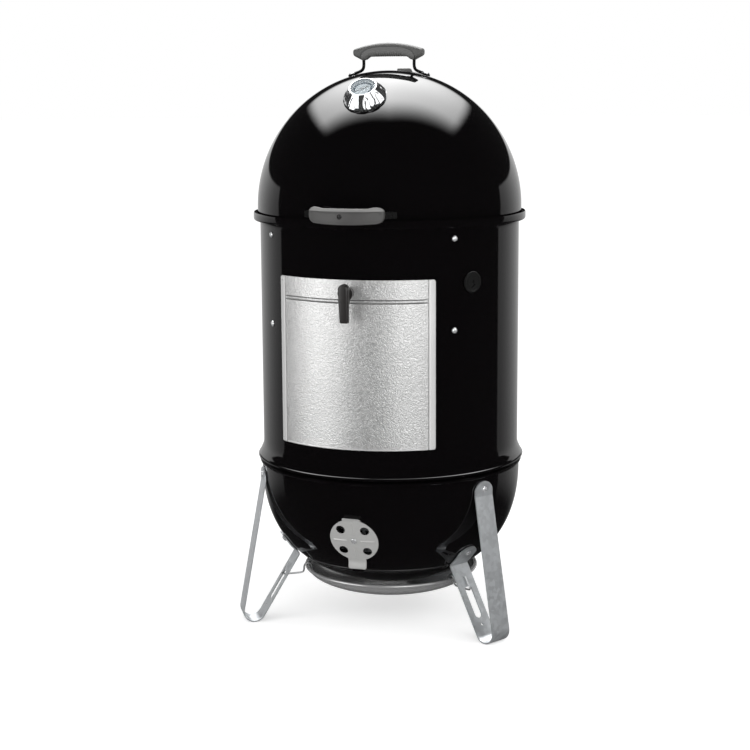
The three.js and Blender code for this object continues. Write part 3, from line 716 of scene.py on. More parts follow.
@dataclass(frozen=True)
class Embossed(Metal):
    """Embossed sheet with a pressed bead across it, and painted shade along its creases."""

    bead: float = 0.725
    half: float = 0.0034
    seam: float = 0.5768

    def crease_shade(self, tree: Tree, point: Flow, colour: Flow) -> Flow:
        """Painted shade: dark lines along both edges of the bead and beside the folds, where shade falls in the
        creases.
        """
        away = abs(abs(tree.along(point, (0, 0, 1)) - self.bead) - self.half)
        turn = tree.along(point, (1, 0, 0)).angle_to(tree.along(point, (0, -1, 0)))
        beside = abs(abs(turn) - self.seam)
        # painted shade: dark lines where the bead's edges and the hem folds lie in shade
        lines = (1 - away.step(0.0003, 0.0011)).at_least(1 - beside.step(0.001, 0.004))
        return tree.mix(lines * 0.8, colour, tinted(self.colour, 0.12))


@dataclass(frozen=True)
class Moulded:
    """Moulded plastic or rubber."""

    name: str
    colour: Colour
    roughness: float
    grit: float = 0.25

    def tint(self, tree: Tree, point: Flow) -> Flow:
        """The plastic's colour, a little uneven."""
        cloud = tree.noise(point, 40.0, 4.0)
        return tree.mix(cloud, tinted(self.colour, 0.88), tinted(self.colour, 1.12))

    def shade(self, tree: Tree) -> Flow:
        """Plastic with a fine spark-eroded texture."""
        point = tree.place()
        grit = tree.noise(point, 2600.0, 2.0)
        return tree.surface({
            "Base Color": self.tint(tree, point),
            "Roughness": self.roughness + tree.noise(point, 300.0, 2.0) * 0.12,
            "Normal": tree.bump(grit, self.grit, 0.0003),
        })


@dataclass(frozen=True)
class TwoShot(Moulded):
    """Hard plastic with a softer, lighter skin under an arch, and painted shade between its finger ribs."""

    inner: Colour = (0.102, 0.102, 0.100)
    centre: float = 1.2115
    rise: float = 0.0215
    half: float = 0.0595
    pitch: float = 0.0049

    def tint(self, tree: Tree, point: Flow) -> Flow:
        """Lighter under the arch, with a thin dark parting line and painted shade between the finger ribs below
        it.
        """
        across, up = tree.along(point, (1, 0, 0)), tree.along(point, (0, 0, 1)) - self.centre
        arch = 1 - abs(across / self.half) ** 3.0 - (up / self.rise).at_least(0.0) ** 2.0
        edge = 1 - abs(arch).step(0.02, 0.09)
        skin = tree.mix(arch.step(-0.02, 0.02), self.colour, self.inner)
        cloudy = tree.mix(tree.noise(point, 40.0, 4.0) * 0.3, skin, tinted(self.colour, 0.9))
        # painted shade: dark stripes between the finger ribs in the lower middle of the grip
        wave = (across * (2 * math.pi / self.pitch)).cosine()
        ribs = wave.step(-0.2, 0.8) * (1 - abs(across).step(0.024, 0.034)) * (1 - up.step(0.002, 0.013))
        return tree.mix(edge.at_least(ribs * 0.7) * 0.75, cloudy, tinted(self.colour, 0.30))


@dataclass(frozen=True)
class TopLitMoulded(Moulded):
    """Plastic with a painted highlight: a lighter band along its top, where the light from above falls."""

    upper: Colour = (0.16, 0.16, 0.155)
    split: float = 0.9083

    def tint(self, tree: Tree, point: Flow) -> Flow:
        """Dark below the parting line, with a painted highlight above it where the top is lit from above."""
        height = tree.along(point, (0, 0, 1)) - self.split
        cloudy = super().tint(tree, point)
        # painted highlight: the lighter colour above the line stands for the top lit from above
        return tree.mix(height.step(-0.0005, 0.0005), cloudy, self.upper)


@dataclass(frozen=True)
class DialFace:
    """The printed face of the thermometer."""

    name: str = "dial_face"
    paper: Colour = (0.52, 0.53, 0.54)
    band: Colour = (0.12, 0.135, 0.15)
    ink: Colour = (0.02, 0.02, 0.02)
    radius: float = 0.0255

    def shade(self, tree: Tree) -> Flow:
        """A grey arc with marks round it, measured from the middle of the dial."""
        point = tree.place()
        hub = joint_seat("needle_turn")
        across, uphill = (
            (tree.along(point, axis) - float(hub.translation.dot(axis)) * MM) / self.radius
            for axis in (hub.col[0].xyz, hub.col[1].xyz))
        reach = (across * across + uphill * uphill) ** 0.5
        turn = across.angle_to(uphill)
        on_arc = 1 - abs(turn).step(2.25, 2.30)
        band = reach.step(0.60, 0.62) * (1 - reach.step(0.80, 0.82)) * on_arc
        sweep = turn * (18 / math.pi)
        wave = abs(sweep - sweep.nearest())
        in_ring = reach.step(0.84, 0.86)
        marks = (1 - wave.step(0.10, 0.16)) * in_ring * (1 - reach.step(0.93, 0.95)) * on_arc
        colour = tree.mix(band, self.paper, self.band)
        return tree.surface({
            "Base Color": tree.mix(marks, colour, self.ink),
            "Roughness": 0.6 + tree.noise(point, 800.0, 2.0) * 0.1,
            "Specular IOR Level": 0.1,
        })


@dataclass(frozen=True)
class Glass:
    """The clear cover of the thermometer."""

    name: str = "thin_glass"

    def shade(self, tree: Tree) -> Flow:
        """Clear glass that is too thin to bend light, with a faint haze and a weak shine."""
        haze = tree.noise(tree.place(), 220.0, 3.0)
        clear = tree.node("ShaderNodeBsdfTransparent", None, {"Color": (0.95, 0.97, 0.98, 1)})
        shine = tree.node("ShaderNodeBsdfGlossy", None, {
            "Color": (1, 1, 1, 1), "Roughness": 0.02 + haze * 0.05})
        return tree.node("ShaderNodeMixShader", None, {0: 0.002 + haze * 0.004, 1: clear, 2: shine})


@dataclass(frozen=True)
class Floor:
    """Pale, plain and matt."""

    name: str = "studio_floor"
    glow: float = 0.42

    def shade(self, tree: Tree) -> Flow:
        """White paper that glows a little, so that it meets the background evenly."""
        return tree.surface({
            "Base Color": (0.86, 0.86, 0.86, 1),
            "Roughness": 0.9,
            "Specular IOR Level": 0.0,
            "Emission Color": (1, 1, 1, 1),
            "Emission Strength": self.glow,
        })


class Paint:
    """The finishes of this smoker."""

    ENAMEL = Enamel()
    ZINC = Metal("galvanised_steel", (0.60, 0.62, 0.635), 0.38, Grain.SPANGLE, 0.80)
    DOOR = Embossed("stucco_aluminium", (0.70, 0.70, 0.695), 0.30, Grain.STUCCO, 0.82)
    HEM = Metal("folded_aluminium", (0.63, 0.63, 0.625), 0.34, Grain.BRUSHED, 0.55)
    SATIN = Metal("satin_aluminium", (0.50, 0.50, 0.49), 0.34, Grain.BRUSHED, 0.50)
    SHIELD = Metal("plated_sheet", (0.52, 0.52, 0.52), 0.20, Grain.BRUSHED, 0.70)
    CHROME = Metal("chrome_plate", (0.88, 0.89, 0.90), 0.05, Grain.POLISHED, 0.97)
    BOLT = Metal("bright_zinc", (0.82, 0.83, 0.84), 0.24, Grain.POLISHED, 0.75)
    # painted shade: the screw is nearly black to stand for the shade inside its recess
    SHADED_SCREW = Metal("recess_shaded_steel", (0.05, 0.05, 0.05), 0.3, Grain.POLISHED, 0.6)
    WIRE = Metal("plated_wire", (0.70, 0.71, 0.72), 0.24, Grain.BRUSHED)
    BLACK = Moulded("black_coating", (0.010, 0.010, 0.010), 0.22, 0.08)
    GREY = TopLitMoulded("grey_nylon", (0.045, 0.044, 0.043), 0.42, 0.15)
    HANDLE = TwoShot("grey_grip", (0.070, 0.070, 0.068), 0.45, 0.25)
    DARK = Moulded("black_nylon", (0.014, 0.0125, 0.012), 0.27, 0.1)
    RUBBER = Moulded("black_silicone", (0.009, 0.009, 0.009), 0.5, 0.1)
    DIAL = DialFace()
    GLASS = Glass()


MIXED: dict[str, bpy.types.Material] = {}


def material_of(finish: Finish) -> bpy.types.Material:
    """The material of a finish, which is made the first time that it is needed.

    Args:
        finish: The finish.

    Returns:
        Its material.
    """
    if finish.name not in MIXED:
        made = MIXED[finish.name] = bpy.data.materials.new(f"{finish.name}_finish")
        made.use_nodes = True
        tree = Tree(made.node_tree)
        tree.node("ShaderNodeOutputMaterial", None, {"Surface": finish.shade(tree)})
    return MIXED[finish.name]


def forge(
    node: str,
    blank: Blank,
    finish: Finish,
    *,
    sharp: float = 35.0,
    bevel: float = 0.0,
    extra: Optional[tuple[Blank, Finish]] = None,
) -> bpy.types.Object:
    """Makes the finished piece of one CAD node.

    Args:
        node: The node that the piece stands for; its body is the node's.
        blank: The piece's shape.
        finish: Its finish.
        sharp: The angle in degrees above which an edge stays sharp.
        bevel: The width in millimetres of a bevel on its sharp edges.
        extra: A second shape of the same piece, with a finish of its own.

    Returns:
        The piece.
    """
    count = len(blank.faces)
    if extra:
        blank = blank.with_parts(extra[0])
    piece = bare_object(f"{node}_finished", blank)
    mesh = piece.data
    mesh.materials.append(material_of(finish))
    if extra:
        mesh.materials.append(material_of(extra[1]))
        split = len(mesh.polygons) - (len(blank.faces) - count)
        for face in mesh.polygons:
            face.material_index = int(face.index >= split)
    mesh.shade_smooth()
    mesh.set_sharp_from_angle(angle=math.radians(sharp))
    if bevel:
        rounding = piece.modifiers.new("edges", "BEVEL")
        rounding.width, rounding.segments = bevel * MM, 2
        rounding.limit_method, rounding.angle_limit = "ANGLE", math.radians(50)
        rounding.harden_normals = True
    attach(piece, BODY_OF[node])
    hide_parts(node)
    log.info("%s: %d faces on %s", piece.name, len(mesh.polygons), BODY_OF[node])
    return piece


# ---------------------------------------------------------------- shared small pieces


@dataclass
class DomedBolt:
    """A domed bolt with a hexagon nut; its own +Z points out of the head, and 0 is under it."""

    grip: float
    head: float = 6.3
    nut: float = 4.0
    shank: float = 3.0
    across: float = 5.4
    chamfer: float = 0.5

    def blank(self) -> Blank:
        """The bolt with its shank and nut.

        Returns:
            The blank.
        """
        end, inset = -self.grip - self.nut, self.across - self.chamfer
        body = lathe([
            (0, end), (2.4, end), (self.shank, end + 0.6), (self.shank, 0), (self.head - 0.2, 0),
            (self.head, 0.2), *domed(self.head, 0.7, 2.8, 9), (0, 3.5)], 32)
        nut = hexagonal([
            (inset, end), (self.across, end + self.chamfer),
            (self.across, -self.grip - self.chamfer), (inset, -self.grip)])
        return body.with_parts(nut)


@dataclass
class Damper:
    """A pressed damper disc that turns on a rivet, in its own frame."""

    radius: float = 52.0
    hole: float = 9.7
    hole_at: float = 26.0
    flatness: float = 460.0
    lift: float = 0.5
    thickness: float = 1.2
    tab_half: float = 19.5
    lower_tab: float = 70.5
    upper_tab: float = 57.5
    pitch: float = 1.75

    def outline(self) -> list[Pair]:
        """The flat shape of the disc with its two tabs.

        Returns:
            The outline.
        """
        half = self.tab_half
        side = math.degrees(math.acos(half / self.radius))
        corner = 3.0
        top = [(half, self.upper_tab - corner), (half - corner, self.upper_tab)]
        low = [(-half, -self.lower_tab + corner), (-half + corner, -self.lower_tab)]
        return [
            *arc(self.radius, (0, 0), -side, side, 36), *top, *mirrored(top),
            *arc(self.radius, (0, 0), 180 - side, 180 + side, 36), *low, *mirrored(low),
        ]

    def place(self, s: float, t: float, w: float) -> Sequence[float]:
        """The pressed shape: domed to its seat, with ribs, a boss and bent tabs.

        Args:
            s: Sideways.
            t: Uphill.
            w: Depth in the sheet.

        Returns:
            The point.
        """
        reach = math.hypot(s, t)
        height = self.lift - min(reach, self.radius) ** 2 / (2 * self.flatness)
        height += 6.2 * smoothstep(-t, 53.0, self.lower_tab) + 4.6 * smoothstep(t, 50.0, self.upper_tab)
        fade = smoothstep(reach, 12.0, 17.0) * (1 - smoothstep(reach, 42.0, 47.0))
        height += 1.8 * fade * max(ridge(s, 5.4), ridge(t, 5.4))
        return (s, t, height + w)

    def blank(self) -> Blank:
        """The damper.

        Returns:
            The blank.
        """
        along, across = (
            [low + self.pitch * i for i in range(count)] for low, count in ((-60.0, 70), (-68, 72)))
        return bent_sheet(self.outline(), self.thickness, self.place, self.holes(), along, across)

    def holes(self) -> list[list[Pair]]:
        """The outlines of the four round holes."""
        at = self.hole_at
        return [circle(self.hole, (x * at, y * at)) for x in (-1, 1) for y in (-1, 1)]

    def vents(self) -> list[Blank]:
        """Round cutters for the holes in the wall behind the damper."""
        return [prism(hole, -15, 15) for hole in self.holes()]

    def rivet(self) -> Blank:
        """The rivet that the damper turns on."""
        return lathe([
            (0, -6), (5.1, -6), (5.5, -5.6), (5.5, -4.2), (2.7, -4.2), (2.7, 2.1), (6, 2.1),
            *domed(6.2, 2.7, 2.1, 8), (0, 4.8)], 32)


def round_grate(radius: float, bottom: float, pitch: float, cross: float) -> Blank:
    """A round grate: a ring, parallel bars that rest on two cross bars.

    Args:
        radius: The ring's outer radius.
        bottom: The height of its lower face.
        pitch: The distance between bars.
        cross: How far the cross bars are from the middle.

    Returns:
        The grate.
    """
    wire, bar, brace = 3.0, 1.9, 1.0
    ring = lathe(circle(wire, (radius - wire, bottom + wire), 14), 128)
    rods = []
    count = int((radius - 12) / pitch)
    for i in range(-count, count + 1):
        half = math.sqrt((radius - wire) ** 2 - (i * pitch) ** 2)
        height = bottom + 2 * wire - bar
        rods.append(tube(np.array([(i * pitch, y, height) for y in (-half, 0, half)]), bar, 10))
    for y in (-cross, cross):
        half = math.sqrt((radius - wire) ** 2 - y**2)
        rods.append(tube(np.array([(x, y, bottom + brace) for x in (-half, 0, half)]), brace, 8))
    return ring.with_parts(*rods)


def grip_stations(half: float, first: float, second: float, inner: float, count: int) -> np.ndarray:
    """Where the rings of a moulded grip stand, closer together at its rounded ends.

    Args:
        half: Half the grip's length.
        first: How far inside the end the first ring after it is.
        second: How far inside the end the next one is.
        inner: Where the even spacing starts.
        count: How many evenly spaced rings there are.

    Returns:
        The places of all the rings.
    """
    ends = np.array([half, half - first, half - second])
    return np.concatenate([-ends, np.linspace(-half + inner, half - inner, count), ends[::-1]])


# ---------------------------------------------------------------- base


@dataclass
class Base:
    """The charcoal bowl with its legs, heat shield, dampers, grate and ring."""

    radius: float = 281.0
    shoulder: float = 346.0
    depth: float = 261.3
    roundness: float = 2.36
    lip: float = 286.0
    rim: float = 355.0
    leg_width: float = 50.8
    leg_thickness: float = 3.0
    leg_top: float = 341.0
    leg_bend: float = 309.0
    leg_bolt: float = 324.0
    leg_end: float = 27.5
    foot_x: float = 311.0
    foot_z: float = 25.0
    foot_radius: float = 23.5
    plate_bolt: float = 180.0
    plate_gap: float = 2.6
    tab_height: float = 180.0
    grate_radius: float = 214.0
    ring_radius: float = 206.0
    legs: tuple = (("left", -60.0), ("right", 60.0), ("rear", 180.0))
    dampers: tuple = (("front", 0.0), ("right", 120.0), ("left", -120.0))

    def wall(self, inset: float, count: int = 64) -> list[Pair]:
        """The bowl's curve from its lowest point to its shoulder.

        Args:
            inset: How far inside the outer skin the curve is.
            count: How many points it takes.

        Returns:
            Points of (radius, height).
        """
        power = 2 / self.roundness
        turns = np.linspace(math.pi / 2, 0, count)
        line = [((self.radius - inset) * math.cos(a) ** power,
                 self.shoulder - (self.depth - inset) * math.sin(a) ** power) for a in turns[1:]]
        return [(0.0, self.shoulder - self.depth + inset), *line]

    def bowl_seat(self, height: float, angle: float = 0.0) -> Matrix:
        """The seat on the bowl's outer skin at a height."""
        drop = (self.shoulder - height) / self.depth
        radius = self.radius * (1 - drop**self.roundness) ** (1 / self.roundness)
        power = self.roundness - 1
        outward = (radius / self.radius) ** power / self.radius
        return seat(radius, height, -math.atan2(drop**power / self.depth, outward), angle)

    def beside(self, height: float, distance: float) -> Pair:
        """A (radius, height) point at a distance outside the bowl's skin."""
        point = self.bowl_seat(height) @ Vector((0, 0, distance))
        return (-point.y, point.z)

    def bowl(self) -> Blank:
        """The bowl with its rolled lip, grate tabs and vents.

        Returns:
            The blank.
        """
        inner = self.radius - SHEET
        lip = [
            (self.radius + 2.2, 347.4), (284.8, 349.2), (self.lip - 0.2, 351.2), (285.9, 352.8),
            (284.6, 354.4), (283.2, self.rim), (281.4, 354.8), (280.2, 353.8), (inner, 351.8)]
        shell = lathe([*self.wall(0.0), *lip, *reversed(self.wall(SHEET))], 256)
        damper = Damper()
        cutters = [
            vent.moved(joint_seat(f"{side}_damper_turn"))
            for side, _ in self.dampers for vent in damper.vents()]
        shell = drilled(shell, cutters)
        tabs, tab_top = [], self.tab_height - 1.4
        for _, angle in self.dampers:
            path = StripPath(filleted([(233, 152), (230, tab_top), (202, tab_top)], 4))
            outline = [(0, -12), (path.length, -12), (path.length, 12), (0, 12)]
            tab = bent_sheet(outline, 2.0, path.centred, (), path.stations[1:-1])
            tabs.append(tab.turned(angle))
        return shell.with_parts(*tabs)

    def leg_path(self) -> tuple[StripPath, float]:
        """The line that a leg strap follows, and how far along it the inner bend is.

        Returns:
            The path and the distance.
        """
        plate = self.radius + self.leg_thickness / 2 + GAP + 0.3
        bend = (plate, self.leg_bend)
        tuck = self.beside(150.0, self.plate_gap)

        def touching(point: Pair, side: int) -> float:
            """The direction, in degrees, in which the foot's bend meets a strut from a point."""
            towards = math.atan2(self.foot_z - point[1], self.foot_x - point[0])
            distance = math.hypot(self.foot_x - point[0], self.foot_z - point[1])
            heading = towards + side * math.asin(self.foot_radius / distance)
            return math.degrees(heading + side * math.pi / 2)

        outer, inner = touching(bend, 1), touching(tuck, -1)
        foot = arc(self.foot_radius, (self.foot_x, self.foot_z), outer, inner, 22)
        heights = (158.0, 166.0, 172.0, 180.0, 188.0, 195.0)
        plate_line = [self.beside(height, self.plate_gap) for height in heights]
        upper = filleted([(plate, self.leg_top), bend, foot[0]], 5.0)
        lower = filleted([foot[-1], tuck, plate_line[0]], 5.0)
        path = StripPath([*upper, *foot[1:-1], *lower, *plate_line[1:]])
        distances = np.hypot(path.line[:, 0] - tuck[0], path.line[:, 1] - tuck[1])
        return path, float(path.stations[int(np.argmin(distances))])

    def leg(self) -> Blank:
        """One leg: a strap that is bent from the rim to the floor and back to the bowl.

        Returns:
            The blank.
        """
        path, tuck = self.leg_path()
        half = self.leg_width / 2
        shoulder = self.leg_end - math.sqrt(self.leg_end**2 - half**2)
        spread = math.degrees(math.asin(half / self.leg_end))
        top = arc(self.leg_end, (self.leg_end, 0), 180 - spread, 180 + spread, 17)
        end = self.end_station(path)
        bottom = arc(self.leg_end, (end - self.leg_end, 0), -spread, spread, 17)
        outline = [*top, *bottom]
        slot_half, wide, far = 9.5, tuck - 55.8, tuck - 112.5
        slot = [
            (tuck - 52, -5.7), (tuck - 52, 5.7), (wide, slot_half), (far, slot_half),
            *arc(slot_half, (far, 0), 90, 270, 15)[1:-1], (far, -slot_half), (wide, -slot_half)]
        hole = circle(3.0, (tuck - 137, 0), 16)
        low, high = shoulder + 1, end - shoulder - 1
        stations = sorted({round(float(s), 3) for s in path.stations if low < s < high})
        crease = [-1.6, -0.8, 0.8, 1.6]

        def place(s: float, t: float, w: float) -> Sequence[float]:
            """Follows the path, with a shallow crease down the inner strut."""
            fade = 1 - smoothstep(s, tuck - 6, tuck - 2)
            dent = 0.5 * ridge(t, 3.2) * smoothstep(s, tuck - 50, tuck - 46) * fade
            return path.place(s, t, w - self.leg_thickness / 2 + dent)

        return bent_sheet(outline, self.leg_thickness, place, [slot, hole], stations, crease)

    def end_station(self, path: StripPath) -> float:
        """How far along the path the rounded end of the lower plate is."""
        bolt = self.bowl_seat(self.plate_bolt) @ Vector((0, 0, self.plate_gap))
        line = path.line[-8:]
        distances = np.hypot(line[:, 0] + bolt.y, line[:, 1] - bolt.z)
        at_bolt = path.stations[len(path.stations) - 8 + int(np.argmin(distances))]
        return float(min(at_bolt + 17.0, path.length))

    def heat_shield(self) -> Blank:
        """The dished shield with its rolled rim.

        Returns:
            The blank.
        """
        bead = arc(4.0, (187.0, 107.0), -120, 150, 18)
        dish = [tuple(point) for point in smooth_line([
            (78, 64), (100, 65.4), (125, 70.4), (148, 77.4), (166, 85), (178, 92.6), (182.6, 98),
            (184.6, 103)], 5)]
        inside = [(x - 1.2 * (y - 60) / 45, y + 1.2 * (1 - (y - 64) / 45)) for x, y in dish[:-2]]
        ribs = [(0, 64), (20, 64.6), (40, 64), (60, 64.5)]
        upper_ribs = [(60, 65.7), (40, 65.2), (20, 65.8), (0, 65.2)]
        return lathe([*ribs, *dish, *bead, *reversed(inside), *upper_ribs], 160)

    def shield_hook(self) -> Blank:
        """A wire hook from the shield's rim out through the leg's slot."""
        line = [
            (178, 101), (180.5, 112), (185, 117.5), (192, 117.5), (196, 112), (197, 102), (203, 98.2),
            (216, 97.4), (240, 97.4), (245, 101), (240, 111), (231, 126)]
        return tube(smooth_line([(0, -radius, height) for radius, height in line], 6), 1.9)

    def charcoal_ring(self) -> Blank:
        """The perforated band that holds the charcoal.

        Returns:
            The blank.
        """
        low, high = (corner.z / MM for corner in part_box("charcoal_ring"))
        columns, rows, sides, hole = 56, 8, 12, 6.2
        width, height = 2 * math.pi * self.ring_radius / columns, (high - low - 14) / rows
        inner = self.ring_radius - SHEET
        wrap = round_wall(inner)
        parts = []
        for row in range(rows):
            for column in range(columns):
                centre = ((column + 0.5) * width, low + 7 + (row + 0.5) * height)
                parts.append(self.ring_cell(centre, width / 2, height / 2, hole, sides, wrap))
        band = parts[0].with_parts(*parts[1:])
        for base, top in ((low, low + 7), (high - 7, high)):
            edge = [(inner, base), (self.ring_radius, base), (self.ring_radius, top), (inner, top)]
            band = band.with_parts(lathe(edge, columns * 3))
        return band

    def ring_cell(
        self, centre: Pair, half_s: float, half_t: float, hole: float, sides: int, wrap: Place,
    ) -> Blank:
        """One square of the band with its round hole.

        Args:
            centre: The middle of the square.
            half_s: Half its width.
            half_t: Half its height.
            hole: The hole's radius.
            sides: How many corners the hole has.
            wrap: How the flat square goes on the ring.

        Returns:
            The square's two faces and the hole's wall.
        """
        outer, inner = [], []
        for angle in full_turn(sides) + math.pi / sides:
            x, y = math.cos(angle), math.sin(angle)
            scale = 1 / max(abs(x), abs(y))
            outer.append((centre[0] + half_s * x * scale, centre[1] + half_t * y * scale))
            inner.append((centre[0] + hole * x, centre[1] + hole * y))
        quarters = ((1, 1), (-1, 1), (-1, -1), (1, -1))
        corners = [(centre[0] + a * half_s, centre[1] + b * half_t) for a, b in quarters]
        points = [wrap(s, t, w) for w in (0.0, SHEET) for s, t in (*outer, *inner, *corners)]
        faces, layer = [], 2 * sides + 4
        for k in (0, layer):
            for i in range(sides):
                j = (i + 1) % sides
                faces.append((k + i, k + j, k + sides + j, k + sides + i))
            for quarter in range(4):
                i = (quarter * sides // 4 + sides // 8) % sides
                faces.append((k + i, k + 2 * sides + quarter, k + (i + 1) % sides))
        rim = [(sides + i, sides + (i + 1) % sides) for i in range(sides)]
        faces += [(a, b, layer + b, layer + a) for a, b in rim]
        return Blank(np.array(points, float), faces)

    def build(self) -> None:
        """Makes and dresses the pieces of the base."""
        forge("bowl", self.bowl(), Paint.ENAMEL)
        forge("heat_shield", self.heat_shield(), Paint.SHIELD)
        leg, hook = self.leg(), self.shield_hook()
        upper_seat = seat(self.radius + self.leg_thickness + 2 * GAP + 0.3, self.leg_bolt)
        head = self.plate_gap + self.leg_thickness / 2 + GAP
        upper = DomedBolt(9.8).blank().moved(upper_seat)
        lower = DomedBolt(head + 4.4).blank().raised(head).moved(self.bowl_seat(self.plate_bolt))
        for side, angle in self.legs:
            forge(f"{side}_leg", leg.turned(angle), Paint.ZINC, bevel=0.45, sharp=30)
            forge(f"{side}_leg_upper_bolt", upper.turned(angle), Paint.BOLT)
            forge(f"{side}_leg_lower_bolt", lower.turned(angle), Paint.BOLT)
            forge(f"{side}_shield_hook", hook.turned(angle), Paint.WIRE)
        damper = Damper()
        for side, _ in self.dampers:
            spot = joint_seat(f"{side}_damper_turn")
            forge(f"{side}_damper", damper.blank().moved(spot), Paint.SATIN)
            forge(f"{side}_damper_rivet", damper.rivet().moved(spot), Paint.BOLT)
        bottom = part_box("charcoal_grate")[0].z / MM
        forge("charcoal_grate", round_grate(self.grate_radius, bottom, 21.0, 110.0), Paint.WIRE)
        forge("charcoal_ring", self.charcoal_ring(), Paint.ZINC)


# ---------------------------------------------------------------- centre section


@dataclass
class CentreSection:
    """The straight wall with its collar, bead, window, straps, grates and water pan."""

    radius: float = 277.0
    top: float = 889.0
    bottom: float = 338.0
    collar: float = 291.0
    collar_floor: float = 872.0
    bead: float = 289.0
    window_half: float = 149.0
    window_low: float = 437.0
    window_high: float = 755.0
    strap_back: float = 273.2
    strap_bolts: Pair = (849.0, 663.0)
    probe_angle: float = 54.0
    probe_height: float = 759.0
    grates: Pair = (834.4, 693.4)
    pan_rim: float = 247.0
    pan_height: float = 641.4
    pan_depth: float = 122.0

    def wall(self) -> Blank:
        """The wall with the window cut out.

        Returns:
            The blank.
        """
        outer, inner = self.radius, self.radius - SHEET
        straight = [(outer, z) for z in np.linspace(394, 862, 40)]
        bead = [
            (outer + 0.8, 356.4), (281.6, 357.6), (286.4, 358.6), (288.2, 359.6), (self.bead, 361.4),
            (288.8, 363.0), (288.1, 364.2), (286.9, 364.8), (286.1, 365.6), (285.2, 368.2),
            (282.2, 375.0), (279.2, 381.8), (277.5, 387.4)]
        floor = self.collar_floor
        collar = [
            (outer, floor - 5), (outer + 1.2, floor - 2.6), (285, floor - 1.2), (288.6, floor + 0.2),
            (290.4, floor + 2), (self.collar, floor + 4.6), (self.collar, 884.6), (290.8, 887.4),
            (290.3, self.top), (289.6, 888.6), (289.4, 886.6)]
        back = [
            (self.collar - 1.4, floor + 5.4), (288.2, floor + 2.6), (284.6, floor + 0.4),
            (inner + 1, floor - 1.8), (inner, floor - 5),
            *[(inner, z) for z in np.linspace(862, 394, 40)], (276.4, 387.2), (278.6, 380.6),
            (282.2, 373.4), (286.0, 366.4), (287.3, 363), (286.4, 360.8), (281, 359),
            (inner + 0.8, 357.6), (inner + 0.6, self.bottom), (outer + 0.8, self.bottom)]
        shell = lathe([*bead, *straight, *collar, *back], 288)
        half_height = (self.window_high - self.window_low) / 2
        outline = rounded_box(self.window_half, half_height, 9.0)
        cutter = prism(outline, 200.0, 320.0)
        turn = Matrix.Rotation(math.radians(90), 4, "X")
        lift = Matrix.Translation((0, 0, (self.window_low + self.window_high) / 2))
        return drilled(shell, [cutter.moved(lift @ turn)])

    def grommet(self) -> Blank:
        """The silicone plug with a small hole and a slot for leads.

        Returns:
            The blank.
        """
        profile = [
            (0, -7.4), (18.6, -7.4), (19, -7), (19, -5.2), (18.6, -4.8), (15.4, -4.8), (15.5, 0.6),
            (21.6, 0.6), (22, 1.0), (21.6, 2.0), (20.5, 3.2), (19.2, 3.4), (18.2, 2.8), (17.4, 2.2),
            (12, 2.2), (11, 2.6), (10, 2.2), (4.4, 2.2), (4, 1.4), (3.4, 0.4), (0, 0.2)]
        plug = lathe(profile, 64)
        slot = prism(rounded_box(6.5, 0.9, 0.8), -4, 6).moved(
            Matrix.Translation((1.0, -8.5, 0)) @ Matrix.Rotation(math.radians(35), 4, "Z"))
        spot = seat(self.radius + GAP, self.probe_height)
        return drilled(plug, [slot]).moved(spot).turned(self.probe_angle)

    def strap(self) -> Blank:
        """A bent strap with three ledges.

        Returns:
            The blank.
        """
        upper, lower = (bottom - GAP - 1 for bottom in self.grates)
        pan = self.pan_height - GAP - 1
        back = self.strap_back
        corners = [
            (back, 862), (back, upper), (248, upper), (back, 797), (back, lower), (251, lower),
            (back, 672), (back, pan), (239, pan)]
        path = StripPath(filleted(corners, 2.2, 4))
        end = path.length
        outline = [
            (0, 8), (4, 12.5), (end - 2, 12.5), (end, 10.5), (end, -10.5), (end - 2, -12.5), (4, -12.5),
            (0, -8)]
        return bent_sheet(outline, 2.0, path.centred, (), path.stations[1:-1])

    def water_pan(self) -> Blank:
        """The deep enamelled pan with its rolled edge.

        Returns:
            The blank.
        """
        top, floor = self.pan_height, self.pan_height - self.pan_depth
        side = [tuple(point) for point in smooth_line([
            (100, floor), (138, floor + 0.4), (160, floor + 4), (178, floor + 13), (190, floor + 32),
            (210, floor + 64), (228, floor + 100), (233, top - 3), (235.5, top)], 5)]
        inside = [(x - 1.2, y + 1.2 * (1 - (y - floor) / self.pan_depth) + 0.6) for x, y in side]
        steps = ((-1.5, 0), (0, 1.5), (0, 3.2), (-0.8, 4), (-1.8, 3), (-2.6, 1.5))
        rim = [(self.pan_rim + x, top + y) for x, y in steps]
        return lathe([(0, floor), *side, *rim, *reversed(inside), (0, floor + 1.8)], 128)

    def build(self) -> None:
        """Makes and dresses the pieces of the centre section."""
        forge("center_section", self.wall(), Paint.ENAMEL)
        forge("probe_grommet", self.grommet(), Paint.RUBBER)
        strap = self.strap()
        bolt = DomedBolt(5.6, 6.0, 3.8).blank()
        for index, angle in enumerate((-45.0, 45.0, 135.0, -135.0), 1):
            forge(f"grill_strap_{index}", strap.turned(angle), Paint.ZINC, bevel=0.3)
            for level, height in zip(("upper", "lower"), self.strap_bolts):
                spot = seat(self.radius + GAP, height, 0.0, angle)
                forge(f"{level}_strap_bolt_{index}", bolt.moved(spot), Paint.BOLT)
        for level, bottom in zip(("upper", "lower"), self.grates):
            forge(f"{level}_cooking_grate", round_grate(265.0, bottom, 15.5, 150.0), Paint.CHROME)
        forge("water_pan", self.water_pan(), Paint.ENAMEL)


# ---------------------------------------------------------------- fuel door


